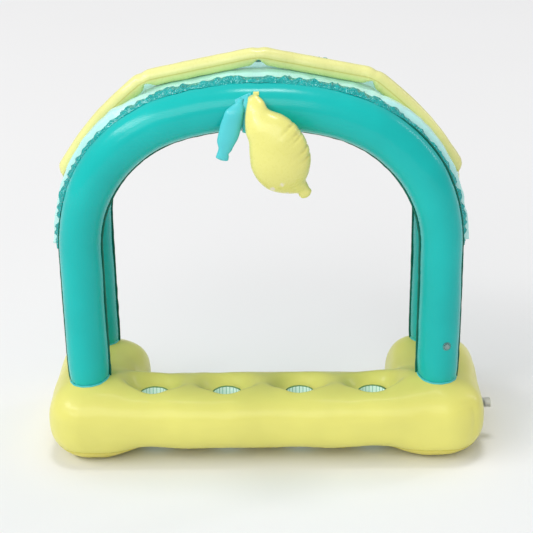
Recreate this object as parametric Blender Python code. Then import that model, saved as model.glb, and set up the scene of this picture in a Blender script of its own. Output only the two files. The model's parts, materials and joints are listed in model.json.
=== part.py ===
"""Blow-up drinks bar: an inflated base with cup wells, two arches, a film roof and a hanging lemon.

Metres, +Z up, front towards -Y. The arches stand at -Y (front) and +Y (rear), one behind the other.
Each inflated chamber is a solid of its blown-up outer shape; films are thin solids.
"""

import math
from collections import namedtuple

import bmesh
import bpy
from mathutils import Matrix, Vector

# Fits and drawn thicknesses
SEAT_GAP = 0.0003
RUNNING_GAP = 0.0005
FILM = 0.0015
CUT_OVERRUN = 0.010

# Base: a U of one bar width, open at the back
BASE_WIDTH = 1.400
BASE_DEPTH = 0.590
BAR_WIDTH = 0.294
LEG_CROWN_HEIGHT = 0.247
FRONT_BAR_DROP = 0.012
FRONT_BAR_LIFT = 0.025
LIFT_RIPPLE = 0.003
LIFT_INSET = 0.210
LIFT_RUN = 0.130
FLOOR_PRESS = 0.006
OUTER_CORNER_RADIUS = 0.125
CROWN_CORNER_RADIUS = 0.030
INNER_CORNER_RADIUS = 0.030
BOTTOM_SEAM_HEIGHT = 0.052
SECTION_POWER = 2.5
END_POWER = 2.3
TOP_STEPS = 16
BOTTOM_STEPS = 8
FRONT_BAR_STEPS = 15
CORNER_STEPS = 5
SIDE_BAR_STEPS = 3
END_STEPS = 5

# Cup wells along the front bar
WELL_COUNT = 4
WELL_PITCH = 0.233
WELL_RADIUS = 0.0465
WELL_RIM_DROP = 0.0265
WELL_RIM_WIDTH = 0.0075
WELL_FLOOR_HEIGHT = 0.030
WELL_DIMPLE_LIP = 0.0010
WELL_DIMPLE_FLAT = 0.058
WELL_DIMPLE_REACH = 0.090
WELL_SIDES = 16

# Arches: three-centred tubes standing on flat seats in the base
ARCH_SPACING = 0.296
LEG_INSET = 0.1425
ARCH_CROWN_HEIGHT = 1.143
CROWN_RADIUS = 0.930
SHOULDER_RADIUS = 0.435
TUBE_RADIUS = 0.0648
LEG_SEAT_DEPTH = 0.011
LEG_RING_WIDTH = 0.004
LEG_RING_HEIGHT = 0.003
TUBE_SIDES = 20
LEG_STEPS = 3
SHOULDER_STEPS = 8
CROWN_STEPS = 6
SEAM_WIDTH = 0.0045
SEAM_THICKNESS = 0.0012
SEAM_START = 0.014

# Roof: film, edge sleeves and rib
SLEEVE_WIDTH = 0.055
SLEEVE_HEIGHT = 0.014
SLEEVE_CRINKLE = 0.005
SLEEVE_WAVE_A = 0.083
SLEEVE_WAVE_B = 0.051
SLEEVE_STEPS_PER_STEP = 3
SLEEVE_ACROSS_SHARES = (0.92, 0.65, 0.35, 0.08)
ROOF_SAG = 0.006
ROOF_SAG_SHARES = (0.0, 0.5, 1.0, 0.5, 0.0, 0.5, 1.0, 0.5, 0.0)
RIB_RADIUS = 0.029
RIB_UPPER_ANGLE = math.radians(13.5)
RIB_LOWER_ANGLE = math.radians(54.0)
RIB_END_OVERHANG = 0.085
RIB_END_ROUND = 0.028
RIB_PINCH_REACH = 0.026
RIB_PINCH_DEPTH = 0.020
RIB_SIDES = 12
RIB_END_SHARES = (0.10, 0.45, 1.0)
TAIL_LENGTH = 0.060
TAIL_WIDTH = 0.014

# Lemon and leaves, hung on the front of the front arch; sizes are length, half width and half depth
TAB_X = -0.004
TAB_WIDTH = 0.034
TAB_CLEARANCE = 0.0008
TAB_TOP_ANGLE = math.radians(72.0)
TAB_OVERLAP = math.radians(6.0)
WRAP_STEPS = 3
LEMON_TOP_X = -0.004
LEMON_TOP_ANGLE = math.radians(62.0)
LEMON_TILT = math.radians(24.5)
LEMON_SIZE = (0.345, 0.087, 0.050)
LEMON_SIDES = 16
LEMON_LENGTH_SHARES = (0.06, 0.12, 0.20, 0.30, 0.41, 0.52, 0.63, 0.73, 0.81, 0.87, 0.92, 0.97)
LEMON_WIDTH_SHARES = (0.20, 0.37, 0.56, 0.79, 0.94, 1.00, 0.97, 0.82, 0.59, 0.38, 0.23, 0.19)
LEMON_BOW_SHARES = (0.00, -0.05, -0.06, 0.00, -0.02, -0.05, -0.08, -0.14, -0.20, -0.16, -0.04, 0.04)
HANGING_DEPTH_POWER = 0.85
LEAF_TOP_X = -0.048
LEAF_TOP_ANGLE = math.radians(35.0)
LEAF_TILT = math.radians(-17.0)
LEAF_SIZE = (0.180, 0.031, 0.016)
LEAF_SIDES = 12
LEAF_LENGTH_SHARES = (0.05, 0.15, 0.30, 0.47, 0.62, 0.74, 0.82, 0.88, 0.95)
LEAF_WIDTH_SHARES = (0.40, 0.66, 0.90, 1.00, 0.90, 0.68, 0.46, 0.48, 0.40)
WEB_MARGIN = 0.006
SMALL_LEAF_TOP_X = -0.0225
SMALL_LEAF_TOP_ANGLE = math.radians(50.0)
SMALL_LEAF_TILT = math.radians(-4.0)
SMALL_LEAF_SIZE = (0.112, 0.010, 0.004)

# Valves: a welded flange, a stem that pulls out, and a cap on a strap
ValveSize = namedtuple("ValveSize", "flange_radius stem_radius stem_bore stem_length travel cap_radius")
LARGE_VALVE = ValveSize(0.0140, 0.0065, 0.0045, 0.0200, 0.0120, 0.0072)
SMALL_VALVE = ValveSize(0.0110, 0.0052, 0.0034, 0.0150, 0.0090, 0.0059)
VALVE_FLANGE_THICKNESS = 0.0014
VALVE_HEAD_THICKNESS = 0.0014
VALVE_CAP_THICKNESS = 0.0014
VALVE_PLUG_LENGTH = 0.0030
VALVE_PLUG_SLACK = 0.0014
VALVE_SEAT_DEPTH = 0.0018
VALVE_SIDES = 12
LEG_VALVE_RISE = 0.142
LEG_VALVE_TURN = math.radians(18.0)
BASE_VALVE_HEIGHT = 0.125
RIB_VALVE_OFFSET = 0.110
LEMON_VALVE_DROP = 0.215
LEMON_VALVE_X = -0.007

# Hose fitting on the right side of the base
HOSE_Y = -0.081
HOSE_HEIGHT = 0.117
HOSE_FLANGE_RADIUS = 0.020
HOSE_FLANGE_THICKNESS = 0.0020
HOSE_SPIGOT_RADIUS = 0.0080
HOSE_BORE_RADIUS = 0.0055
HOSE_SPIGOT_REACH = 0.0190
HOSE_COLLAR_RADIUS = 0.0105
HOSE_COLLAR_LENGTH = 0.0030
HOSE_NUT_RADIUS = 0.0155
HOSE_NUT_BORE_RADIUS = 0.0132
HOSE_NUT_LENGTH = 0.0280
HOSE_NUT_WALL = 0.0030
HOSE_NUT_GROOVE_DEPTH = 0.0012
HOSE_WASHER_THICKNESS = 0.0025
HOSE_SEAT_DEPTH = 0.0034
HOSE_SPIGOT_SINK = 0.0150
FITTING_SIDES = 24

# Values worked out from the sizes above
FRONT_BAR_HEIGHT = LEG_CROWN_HEIGHT - FRONT_BAR_DROP
WELL_RIM_HEIGHT = FRONT_BAR_HEIGHT - WELL_RIM_DROP
LEG_SEAT_HEIGHT = LEG_CROWN_HEIGHT - LEG_SEAT_DEPTH
LEG_VALVE_HEIGHT = LEG_SEAT_HEIGHT + LEG_VALVE_RISE
LIFT_NONE_X = BASE_WIDTH / 2 - LIFT_INSET
LIFT_FULL_X = LIFT_NONE_X - LIFT_RUN
ARCH_HALF_SPAN = BASE_WIDTH / 2 - LEG_INSET
CROWN_CENTRE_Z = ARCH_CROWN_HEIGHT - CROWN_RADIUS
SHOULDER_CENTRE_X = ARCH_HALF_SPAN - SHOULDER_RADIUS
CROWN_SWEEP = math.asin(SHOULDER_CENTRE_X / (CROWN_RADIUS - SHOULDER_RADIUS))
SHOULDER_CENTRE_Z = CROWN_CENTRE_Z + (CROWN_RADIUS - SHOULDER_RADIUS) * math.cos(CROWN_SWEEP)
FRONT_Y = -ARCH_SPACING / 2
REAR_Y = ARCH_SPACING / 2
ROOF_UNDER = TUBE_RADIUS + SEAT_GAP
ROOF_TOP = ROOF_UNDER + FILM
HALF_SECTION_Z = (LEG_CROWN_HEIGHT - FLOOR_PRESS) / 2

COLOURS = {
    "base_film": ((0.79, 0.75, 0.22, 1.0), 0.38),
    "bottom_film": ((0.80, 0.70, 0.14, 1.0), 0.40),
    "well_film": ((0.62, 0.86, 0.76, 1.0), 0.35),
    "arch_film": ((0.05, 0.52, 0.47, 1.0), 0.34),
    "seam_film": ((0.01, 0.20, 0.15, 1.0), 0.45),
    "ring_film": ((0.25, 0.68, 0.66, 1.0), 0.40),
    "sleeve_film": ((0.01, 0.34, 0.31, 1.0), 0.22),
    "roof_film": ((0.47, 0.80, 0.74, 1.0), 0.30),
    "rib_film": ((0.83, 0.79, 0.27, 1.0), 0.33),
    "lemon_film": ((0.86, 0.82, 0.30, 1.0), 0.36),
    "leaf_film": ((0.08, 0.62, 0.66, 1.0), 0.38),
    "clear_plastic": ((0.80, 0.84, 0.84, 1.0), 0.18),
    "washer_rubber": ((0.05, 0.05, 0.05, 1.0), 0.60),
}


def clear_scene():
    for obj in list(bpy.data.objects):
        bpy.data.objects.remove(obj, do_unlink=True)


def material(name):
    """The Principled material of this name, made when it is first asked for."""
    found = bpy.data.materials.get(name)
    if found:
        return found
    colour, roughness = COLOURS[name]
    made = bpy.data.materials.new(name)
    made.use_nodes = True
    shader = made.node_tree.nodes["Principled BSDF"]
    shader.inputs["Base Color"].default_value = colour
    shader.inputs["Roughness"].default_value = roughness
    shader.inputs["Metallic"].default_value = 0.0
    return made


def add_object(name, bm, finish, parent, sharp_angle=math.radians(50.0)):
    """Turns a bmesh into a named object of one material, shaded smooth."""
    bmesh.ops.recalc_face_normals(bm, faces=bm.faces)
    mesh = bpy.data.meshes.new(name)
    bm.to_mesh(mesh)
    bm.free()
    mesh.shade_smooth()
    mesh.set_sharp_from_angle(angle=sharp_angle)
    mesh.materials.append(material(finish))
    obj = bpy.data.objects.new(name, mesh)
    obj.parent = parent
    bpy.context.scene.collection.objects.link(obj)
    return obj


def add_cutter(name, bm, parent):
    """A hidden solid that a Boolean takes away."""
    bmesh.ops.recalc_face_normals(bm, faces=bm.faces)
    mesh = bpy.data.meshes.new(name)
    bm.to_mesh(mesh)
    bm.free()
    obj = bpy.data.objects.new(name, mesh)
    obj.parent = parent
    obj.hide_render = True
    obj.display_type = "WIRE"
    bpy.context.scene.collection.objects.link(obj)
    return obj


def cut(target, cutter):
    boolean = target.modifiers.new(cutter.name, "BOOLEAN")
    boolean.operation = "DIFFERENCE"
    boolean.solver = "EXACT"
    boolean.object = cutter


def empty(name, parent, matrix=Matrix()):
    holder = bpy.data.objects.new(name, None)
    holder.parent = parent
    holder.matrix_local = matrix
    bpy.context.scene.collection.objects.link(holder)
    return holder


def bridge(bm, first, second):
    """Faces between two rings of equal count, either of which may be a single point."""
    count = max(len(first), len(second))
    for i in range(count):
        j = (i + 1) % count
        corners = [first[i % len(first)], first[j % len(first)]]
        corners += [second[j % len(second)], second[i % len(second)]]
        bm.faces.new(list(dict.fromkeys(corners)))


def loft(rings):
    """A closed skin over a row of rings; a ring of one point is a pole, and any other end is capped."""
    bm = bmesh.new()
    rows = [[bm.verts.new(point) for point in ring] for ring in rings]
    for first, second in zip(rows, rows[1:]):
        bridge(bm, first, second)
    for row in (rows[0], rows[-1]):
        if len(row) > 1:
            bm.faces.new(row)
    return bm


def lathe(profile, sides, groove_depth=0.0):
    """Spins a closed (radius, height) profile about Z; a groove depth draws in every other grip line."""
    bm = bmesh.new()
    grip = max(radius for radius, _ in profile)
    columns = []
    for radius, height in profile:
        if radius == 0:
            columns.append([bm.verts.new((0, 0, height))])
            continue
        ring = []
        for i in range(sides):
            turn = 2 * math.pi * i / sides
            reach = radius - groove_depth * (i % 2) if radius == grip else radius
            ring.append(bm.verts.new((reach * math.cos(turn), reach * math.sin(turn), height)))
        columns.append(ring)
    for first, second in zip(columns, columns[1:]):
        bridge(bm, first, second)
    if len(columns[0]) > 1:
        bridge(bm, columns[-1], columns[0])
    return bm


def block(low, high):
    """A box between two corners."""
    bm = bmesh.new()
    size = [high[k] - low[k] for k in range(3)]
    middle = [(high[k] + low[k]) / 2 for k in range(3)]
    bmesh.ops.create_cube(bm, size=1.0, matrix=Matrix.Translation(middle) @ Matrix.Diagonal((*size, 1)))
    return bm


def smooth_step(value, start, end):
    share = min(max((value - start) / (end - start), 0.0), 1.0)
    return share * share * (3 - 2 * share)


def blend(a, b, share):
    return a + (b - a) * share


def polar(radius, angle, centre_x=0.0, centre_z=0.0):
    """A point in the arch's plane, its angle measured from straight up towards +X."""
    return centre_x + radius * math.sin(angle), centre_z + radius * math.cos(angle)


# Base


def well_places():
    first = -WELL_PITCH * (WELL_COUNT - 1) / 2
    return [(first + WELL_PITCH * i, -BASE_DEPTH / 2 + BAR_WIDTH / 2) for i in range(WELL_COUNT)]


def base_stations():
    """Half of the U, from its middle to its right rear end: outer, crown and inner rail, and end scale."""
    outer_x, crown_x, inner_x = BASE_WIDTH / 2, (BASE_WIDTH - BAR_WIDTH) / 2, BASE_WIDTH / 2 - BAR_WIDTH
    outer_y, crown_y, inner_y = -BASE_DEPTH / 2, (BAR_WIDTH - BASE_DEPTH) / 2, BAR_WIDTH - BASE_DEPTH / 2
    rails = (
        (outer_x, outer_y, OUTER_CORNER_RADIUS),
        (crown_x, crown_y, CROWN_CORNER_RADIUS),
        (inner_x, inner_y, INNER_CORNER_RADIUS),
    )
    stations = []
    for i in range(FRONT_BAR_STEPS + 1):
        share = i / FRONT_BAR_STEPS
        stations.append(([((x - r) * share, y) for x, y, r in rails], 1.0))
    for i in range(1, CORNER_STEPS + 1):
        turn = math.pi / 2 * i / CORNER_STEPS
        corner = [(x - r + r * math.sin(turn), y + r - r * math.cos(turn)) for x, y, r in rails]
        stations.append((corner, 1.0))
    rear = BASE_DEPTH / 2 - BAR_WIDTH / 2
    for i in range(1, SIDE_BAR_STEPS + 1):
        share = i / SIDE_BAR_STEPS
        stations.append(([(x, blend(y + r, rear, share)) for x, y, r in rails], 1.0))
    for i in range(1, END_STEPS + 1):
        turn = math.pi / 2 * i / END_STEPS
        scale = (1 - math.sin(turn) ** END_POWER) ** (1 / END_POWER) if i < END_STEPS else 0.0
        y = rear + BAR_WIDTH / 2 * math.sin(turn)
        stations.append(([(x, y) for x, _, _ in rails], scale))
    return stations


def section_steps():
    """(across, rise) of the bar's section from its outer edge over the top and back underneath."""
    steps = []
    for i in range(TOP_STEPS):
        across = math.cos(math.pi * i / TOP_STEPS)
        steps.append((across, (1 - abs(across) ** SECTION_POWER) ** (1 / SECTION_POWER)))
    for i in range(BOTTOM_STEPS):
        across = -math.cos(math.pi * i / BOTTOM_STEPS)
        steps.append((across, -((1 - abs(across) ** SECTION_POWER) ** (1 / SECTION_POWER))))
    return steps


def dimple(x, y, z):
    """Draws the top film down to the flat rim of a cup well."""
    for well_x, well_y in well_places():
        along, across = abs(x - well_x), abs(y - well_y)
        reach = math.hypot(along, across)
        if reach == 0:
            return WELL_RIM_HEIGHT + WELL_DIMPLE_LIP
        half_pitch = WELL_PITCH / 2
        edge = blend(WELL_DIMPLE_REACH, half_pitch, (along / reach) ** 2)
        share = 1 - smooth_step(reach, WELL_DIMPLE_FLAT, edge)
        z = blend(z, min(z, WELL_RIM_HEIGHT + WELL_DIMPLE_LIP), share)
    return z


def base_ring(rails, scale):
    outer, crown, inner = rails
    lifted = 1 - smooth_step(abs(crown[0]), LIFT_FULL_X, LIFT_NONE_X)
    if crown[1] > -BASE_DEPTH / 2 + BAR_WIDTH / 2:
        lifted = 0.0
    ripple = math.cos(2 * math.pi * (crown[0] / WELL_PITCH - (WELL_COUNT - 1) / 2))
    low = blend(-FLOOR_PRESS, FRONT_BAR_LIFT + LIFT_RIPPLE * ripple, lifted)
    high = blend(LEG_CROWN_HEIGHT, FRONT_BAR_HEIGHT, lifted)
    middle = (low + high) / 2
    ring = []
    for across, rise in section_steps():
        edge = outer if across > 0 else inner
        x = blend(crown[0], edge[0], abs(across) * scale)
        y = blend(crown[1], edge[1], abs(across) * scale)
        z = middle + (high - middle) * rise * scale
        if rise > 0:
            z = dimple(x, y, z)
        ring.append((x, y, max(z, 0.0)))
    return ring


def base_rings():
    right = base_stations()
    rings = [base_ring(rails, scale) for rails, scale in right[:-1]]
    pole = (right[-1][0][1][0], right[-1][0][1][1], HALF_SECTION_Z)
    mirrored = [[(-x, y, z) for x, y, z in ring] for ring in rings[1:]]
    left_pole = (-pole[0], pole[1], pole[2])
    return [[left_pole]] + mirrored[::-1] + rings + [[pole]]


def base_form():
    """The whole blown-up U; its twisted quads are split so that every cut is clean."""
    bm = loft(base_rings())
    bmesh.ops.triangulate(bm, faces=bm.faces)
    return bm


def build_base(root):
    top = LEG_CROWN_HEIGHT + CUT_OVERRUN
    side = BASE_WIDTH / 2 + CUT_OVERRUN
    back = BASE_DEPTH / 2 + CUT_OVERRUN
    shell = add_object("base_shell", base_form(), "base_film", root)
    sheet = add_object("base_bottom_sheet", base_form(), "bottom_film", root)
    below = block((-side, -back, -CUT_OVERRUN), (side, back, BOTTOM_SEAM_HEIGHT + SEAT_GAP / 2))
    above = block((-side, -back, BOTTOM_SEAM_HEIGHT - SEAT_GAP / 2), (side, back, top))
    cut(shell, add_cutter("cut_below_seam", below, root))
    cut(sheet, add_cutter("cut_above_seam", above, root))
    for number, (x, y) in enumerate(well_places(), 1):
        build_well(number, x, y, shell, sheet, root)
    for name, x, y in leg_places():
        build_leg_seat(name, x, y, shell, root)
    return shell


def build_well(number, x, y, shell, sheet, root):
    """A mint sleeve with a floor and a flat rim, in a hole through both base pieces."""
    hole = WELL_RADIUS + SEAT_GAP
    rim = WELL_RADIUS + WELL_RIM_WIDTH
    top = LEG_CROWN_HEIGHT + CUT_OVERRUN
    seat = rim + SEAT_GAP
    profile = [(0, -CUT_OVERRUN), (hole, -CUT_OVERRUN), (hole, WELL_RIM_HEIGHT)]
    profile += [(seat, WELL_RIM_HEIGHT), (seat, top), (0, top)]
    cutter = add_cutter(f"cut_well_{number}", lathe(profile, WELL_SIDES), root)
    cutter.location = (x, y, 0)
    cut(shell, cutter)
    cut(sheet, cutter)
    rim_low = WELL_RIM_HEIGHT + SEAT_GAP
    rim_high = rim_low + FILM
    inner = WELL_RADIUS - FILM
    floor = WELL_FLOOR_HEIGHT
    cup = [(0, floor), (WELL_RADIUS, floor), (WELL_RADIUS, rim_low), (rim, rim_low)]
    cup += [(rim, rim_high), (inner, rim_high), (inner, floor + FILM), (0, floor + FILM)]
    well = add_object(f"cup_well_{number}", lathe(cup, WELL_SIDES), "well_film", root)
    well.location = (x, y, 0)


def leg_places():
    places = []
    for row, y in (("front", FRONT_Y), ("rear", REAR_Y)):
        for side, x in (("left", -ARCH_HALF_SPAN), ("right", ARCH_HALF_SPAN)):
            places.append((f"{row}_{side}", x, y))
    return places


def build_leg_seat(name, x, y, shell, root):
    """Cuts the flat that a leg stands on and lays its weld ring there."""
    inner = TUBE_RADIUS + SEAT_GAP
    outer = inner + LEG_RING_WIDTH
    seat = outer + SEAT_GAP
    top = LEG_CROWN_HEIGHT + CUT_OVERRUN
    profile = [(0, LEG_SEAT_HEIGHT), (seat, LEG_SEAT_HEIGHT), (seat, top), (0, top)]
    cutter = add_cutter(f"cut_leg_{name}", lathe(profile, TUBE_SIDES), root)
    cutter.location = (x, y, 0)
    cut(shell, cutter)
    low = LEG_SEAT_HEIGHT + SEAT_GAP
    high = low + LEG_RING_HEIGHT
    ring = [(inner, low), (outer, low), (outer, high), (inner, high)]
    weld = add_object(f"leg_ring_{name}", lathe(ring, TUBE_SIDES), "ring_film", root)
    weld.location = (x, y, 0)


# Arches


def arch_stations(leg_steps=LEG_STEPS, split=1):
    """Centre points and outward directions of the arch, from the left leg's foot to the right one's."""
    stations = []
    foot = LEG_SEAT_HEIGHT + SEAT_GAP
    for i in range(leg_steps):
        z = blend(foot, SHOULDER_CENTRE_Z, i / leg_steps)
        stations.append((-ARCH_HALF_SPAN, z, -math.pi / 2))
    for i in range(SHOULDER_STEPS * split):
        angle = blend(-math.pi / 2, -CROWN_SWEEP, i / (SHOULDER_STEPS * split))
        x, z = polar(SHOULDER_RADIUS, angle, -SHOULDER_CENTRE_X, SHOULDER_CENTRE_Z)
        stations.append((x, z, angle))
    for i in range(CROWN_STEPS * split // 2 + 1):
        angle = blend(-CROWN_SWEEP, 0.0, i / (CROWN_STEPS * split // 2))
        x, z = polar(CROWN_RADIUS, angle, 0.0, CROWN_CENTRE_Z)
        stations.append((x, z, angle))
    mirrored = [(-x, z, -angle) for x, z, angle in stations[-2::-1]]
    return stations + mirrored


def arch_point(station, outward, y):
    """A point this far outward of the arch's centre line, at depth y."""
    x, z, angle = station
    dx, dz = polar(outward, angle)
    return x + dx, y, z + dz


def tube_ring(station, radius, sides, y):
    ring = []
    for i in range(sides):
        turn = 2 * math.pi * i / sides
        ring.append(arch_point(station, radius * math.cos(turn), y + radius * math.sin(turn)))
    return ring


def build_arch(name, y, root):
    stations = arch_stations()
    rings = [tube_ring(station, TUBE_RADIUS, TUBE_SIDES, y) for station in stations]
    arch = add_object(name, loft(rings), "arch_film", root)
    for side, inner_edge in (("outer", TUBE_RADIUS + SEAT_GAP), ("inner", -TUBE_RADIUS - SEAT_GAP)):
        outer_edge = inner_edge + math.copysign(SEAM_WIDTH, inner_edge)
        foot = LEG_SEAT_HEIGHT + SEAM_START
        strip = []
        for station in stations:
            lifted = (station[0], max(station[1], foot), station[2])
            half = SEAM_THICKNESS / 2
            corners = ((inner_edge, -half), (outer_edge, -half), (outer_edge, half), (inner_edge, half))
            strip.append([arch_point(lifted, out, y + across) for out, across in corners])
        add_object(f"{name}_{side}_seam", loft(strip), "seam_film", root)
    return arch


# Roof


def roof_stations(split=1):
    return arch_stations(leg_steps=0, split=split)


def build_canopy(root):
    """One film laid over both arches, taut under the rib and sagging a little on either side of it."""
    edge = SEAM_THICKNESS
    quarter = ARCH_SPACING / 4
    across = [FRONT_Y + edge] + [FRONT_Y + quarter * k / 2 for k in (1, 2, 3)] + [0.0]
    across += [-y for y in across[-2::-1]]
    sag = [ROOF_SAG * share for share in ROOF_SAG_SHARES]
    rings = []
    for station in roof_stations():
        under = [arch_point(station, ROOF_UNDER - drop, y) for y, drop in zip(across, sag)]
        over = [arch_point(station, ROOF_TOP - drop, y) for y, drop in zip(across, sag)]
        rings.append(under + over[::-1])
    return add_object("canopy_film", loft(rings), "roof_film", root)


def build_sleeve(name, y, towards, root):
    """A limp film sleeve along the crown: flat underneath and crinkled on top."""
    start = SEAM_THICKNESS + SEAT_GAP
    bottom = ROOF_TOP + SEAT_GAP
    rings = []
    travelled = 0.0
    last = None
    for station in roof_stations(SLEEVE_STEPS_PER_STEP):
        if last:
            travelled += math.hypot(station[0] - last[0], station[1] - last[1])
        last = station
        ring = [arch_point(station, bottom, y + towards * start)]
        ring.append(arch_point(station, bottom, y + towards * (start + SLEEVE_WIDTH)))
        for k, share in enumerate(SLEEVE_ACROSS_SHARES):
            wave = math.sin(2 * math.pi * travelled / SLEEVE_WAVE_A + k)
            wave += math.sin(2 * math.pi * travelled / SLEEVE_WAVE_B - 2 * k)
            rise = math.sin(math.pi * share)
            height = SLEEVE_HEIGHT * math.sqrt(rise) + SLEEVE_CRINKLE * rise * wave / 2
            ring.append(arch_point(station, bottom + height, y + towards * (start + SLEEVE_WIDTH * share)))
        rings.append(ring)
    return add_object(name, loft(rings), "sleeve_film", root)


def rib_corners():
    """The rib's straight lengths touch the roof at their middles; these are their ends and meeting points."""
    reach = ROOF_TOP + SEAT_GAP + RIB_RADIUS
    crown = CROWN_RADIUS + reach
    shoulder = SHOULDER_RADIUS + reach
    top = Vector((0.0, CROWN_CENTRE_Z + crown / math.cos(RIB_UPPER_ANGLE)))
    upper = Vector(polar(crown, RIB_UPPER_ANGLE, 0.0, CROWN_CENTRE_Z))
    upper_run = (upper - top).normalized()
    lower = Vector(polar(shoulder, RIB_LOWER_ANGLE, SHOULDER_CENTRE_X, SHOULDER_CENTRE_Z))
    lower_run = Vector((math.cos(RIB_LOWER_ANGLE), -math.sin(RIB_LOWER_ANGLE)))
    offset = lower - top
    turn = upper_run.cross(lower_run)
    bend = top + upper_run * (offset.cross(lower_run) / turn)
    end = lower + lower_run * (RIB_END_OVERHANG + (lower - bend).length / 2)
    right = [top, bend, end]
    return [Vector((-p[0], p[1])) for p in right[:0:-1]] + right


def rib_ring(centre, direction, radius, pinch=0.0):
    """A ring square to the rib; pinch draws its inner side outwards."""
    normal = Vector((-direction[1], direction[0]))
    ring = []
    for i in range(RIB_SIDES):
        turn = 2 * math.pi * i / RIB_SIDES
        outward = radius * math.cos(turn)
        if outward < 0:
            outward += pinch * (outward / radius) ** 2
        point = centre + normal * outward
        ring.append((point[0], radius * math.sin(turn), point[1]))
    return ring


def build_rib(root):
    corners = rib_corners()
    runs = [(b - a).normalized() for a, b in zip(corners, corners[1:])]
    start, finish = corners[0], corners[-1]
    rings = [[(start[0], 0.0, start[1])]]
    for share in RIB_END_SHARES:
        radius = RIB_RADIUS * math.sin(math.acos(1 - share))
        rings.append(rib_ring(start + runs[0] * RIB_END_ROUND * share, runs[0], radius))
    for i in range(1, len(corners) - 1):
        before, after = runs[i - 1], runs[i]
        rings.append(rib_ring(corners[i] - before * RIB_PINCH_REACH, before, RIB_RADIUS))
        rings.append(rib_ring(corners[i], (before + after).normalized(), RIB_RADIUS, RIB_PINCH_DEPTH))
        rings.append(rib_ring(corners[i] + after * RIB_PINCH_REACH, after, RIB_RADIUS))
    for share in RIB_END_SHARES[::-1]:
        radius = RIB_RADIUS * math.sin(math.acos(1 - share))
        rings.append(rib_ring(finish - runs[-1] * RIB_END_ROUND * share, runs[-1], radius))
    rings.append([(finish[0], 0.0, finish[1])])
    rib = add_object("ridge_tube", loft(rings), "rib_film", root)
    for side, corner, run in (("left", start, -runs[0]), ("right", finish, runs[-1])):
        build_tail(side, corner, run, root)
    return rib


def build_tail(side, corner, run, root):
    """A loose strip of film that hangs from the rib's end."""
    first = corner + run * SEAT_GAP
    last = first + Vector((run[0] * TAIL_LENGTH / 4, -TAIL_LENGTH))
    rings = []
    thick, wide = FILM / 2, TAIL_WIDTH / 2
    corners = ((-thick, -wide), (thick, -wide), (thick, wide), (-thick, wide))
    for point in (first, (first + last) / 2 + Vector((run[0] * FILM, 0.0)), last):
        rings.append([(point[0] + dx, dy, point[1]) for dx, dy in corners])
    return add_object(f"ridge_tail_{side}", loft(rings), "rib_film", root)


# Valves


def valve_pieces(name, size, chamber, holder, place):
    """Cuts a valve's seat in its chamber and builds flange, stem and cap. place has +Z out of the film."""
    bore = size.stem_radius + RUNNING_GAP
    seat = size.flange_radius + SEAT_GAP
    depth = size.stem_length + CUT_OVERRUN / 4
    out = VALVE_SEAT_DEPTH + CUT_OVERRUN
    profile = [(0, -depth), (bore, -depth), (bore, 0), (seat, 0), (seat, out), (0, out)]
    cutter = add_cutter(f"cut_{name}", lathe(profile, VALVE_SIDES), holder)
    cutter.matrix_local = place
    cut(chamber, cutter)

    low = SEAT_GAP
    high = low + VALVE_FLANGE_THICKNESS
    ring = [(bore, low), (size.flange_radius, low), (size.flange_radius, low + VALVE_FLANGE_THICKNESS / 2)]
    ring += [(size.cap_radius + VALVE_FLANGE_THICKNESS, high), (bore, high)]
    flange = add_object(f"{name}_flange", lathe(ring, VALVE_SIDES), "clear_plastic", holder)
    flange.matrix_local = place

    head_low = high + SEAT_GAP
    head_high = head_low + VALVE_HEAD_THICKNESS
    stem_low = head_high - size.stem_length
    wall = [(size.stem_bore, stem_low), (size.stem_radius, stem_low), (size.stem_radius, head_low)]
    wall += [(size.cap_radius, head_low), (size.cap_radius, head_high), (size.stem_bore, head_high)]
    stem = add_object(f"{name}_stem", lathe(wall, VALVE_SIDES), "clear_plastic", holder)
    stem.matrix_local = place

    cap_low = head_high + SEAT_GAP
    cap_high = cap_low + VALVE_CAP_THICKNESS
    plug = size.stem_bore - VALVE_PLUG_SLACK
    lid = [(0, cap_low - VALVE_PLUG_LENGTH), (plug, cap_low - VALVE_PLUG_LENGTH), (plug, cap_low)]
    lid += [(size.cap_radius, cap_low), (size.cap_radius, cap_high), (0, cap_high)]
    bm = lathe(lid, VALVE_SIDES)
    hinge = Vector((size.cap_radius, 0, cap_low))
    bmesh.ops.translate(bm, vec=-hinge, verts=bm.verts)
    cap = add_object(f"{name}_cap", bm, "clear_plastic", holder)
    cap.matrix_local = place @ Matrix.Translation(hinge)


def facing(place, outward, hinge_side):
    """A frame at place with +Z outward and +X towards the side that the cap is hinged on."""
    z = Vector(outward).normalized()
    y = z.cross(Vector(hinge_side)).normalized()
    x = y.cross(z)
    return Matrix.Translation(place) @ Matrix((x, y, z)).transposed().to_4x4()


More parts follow.
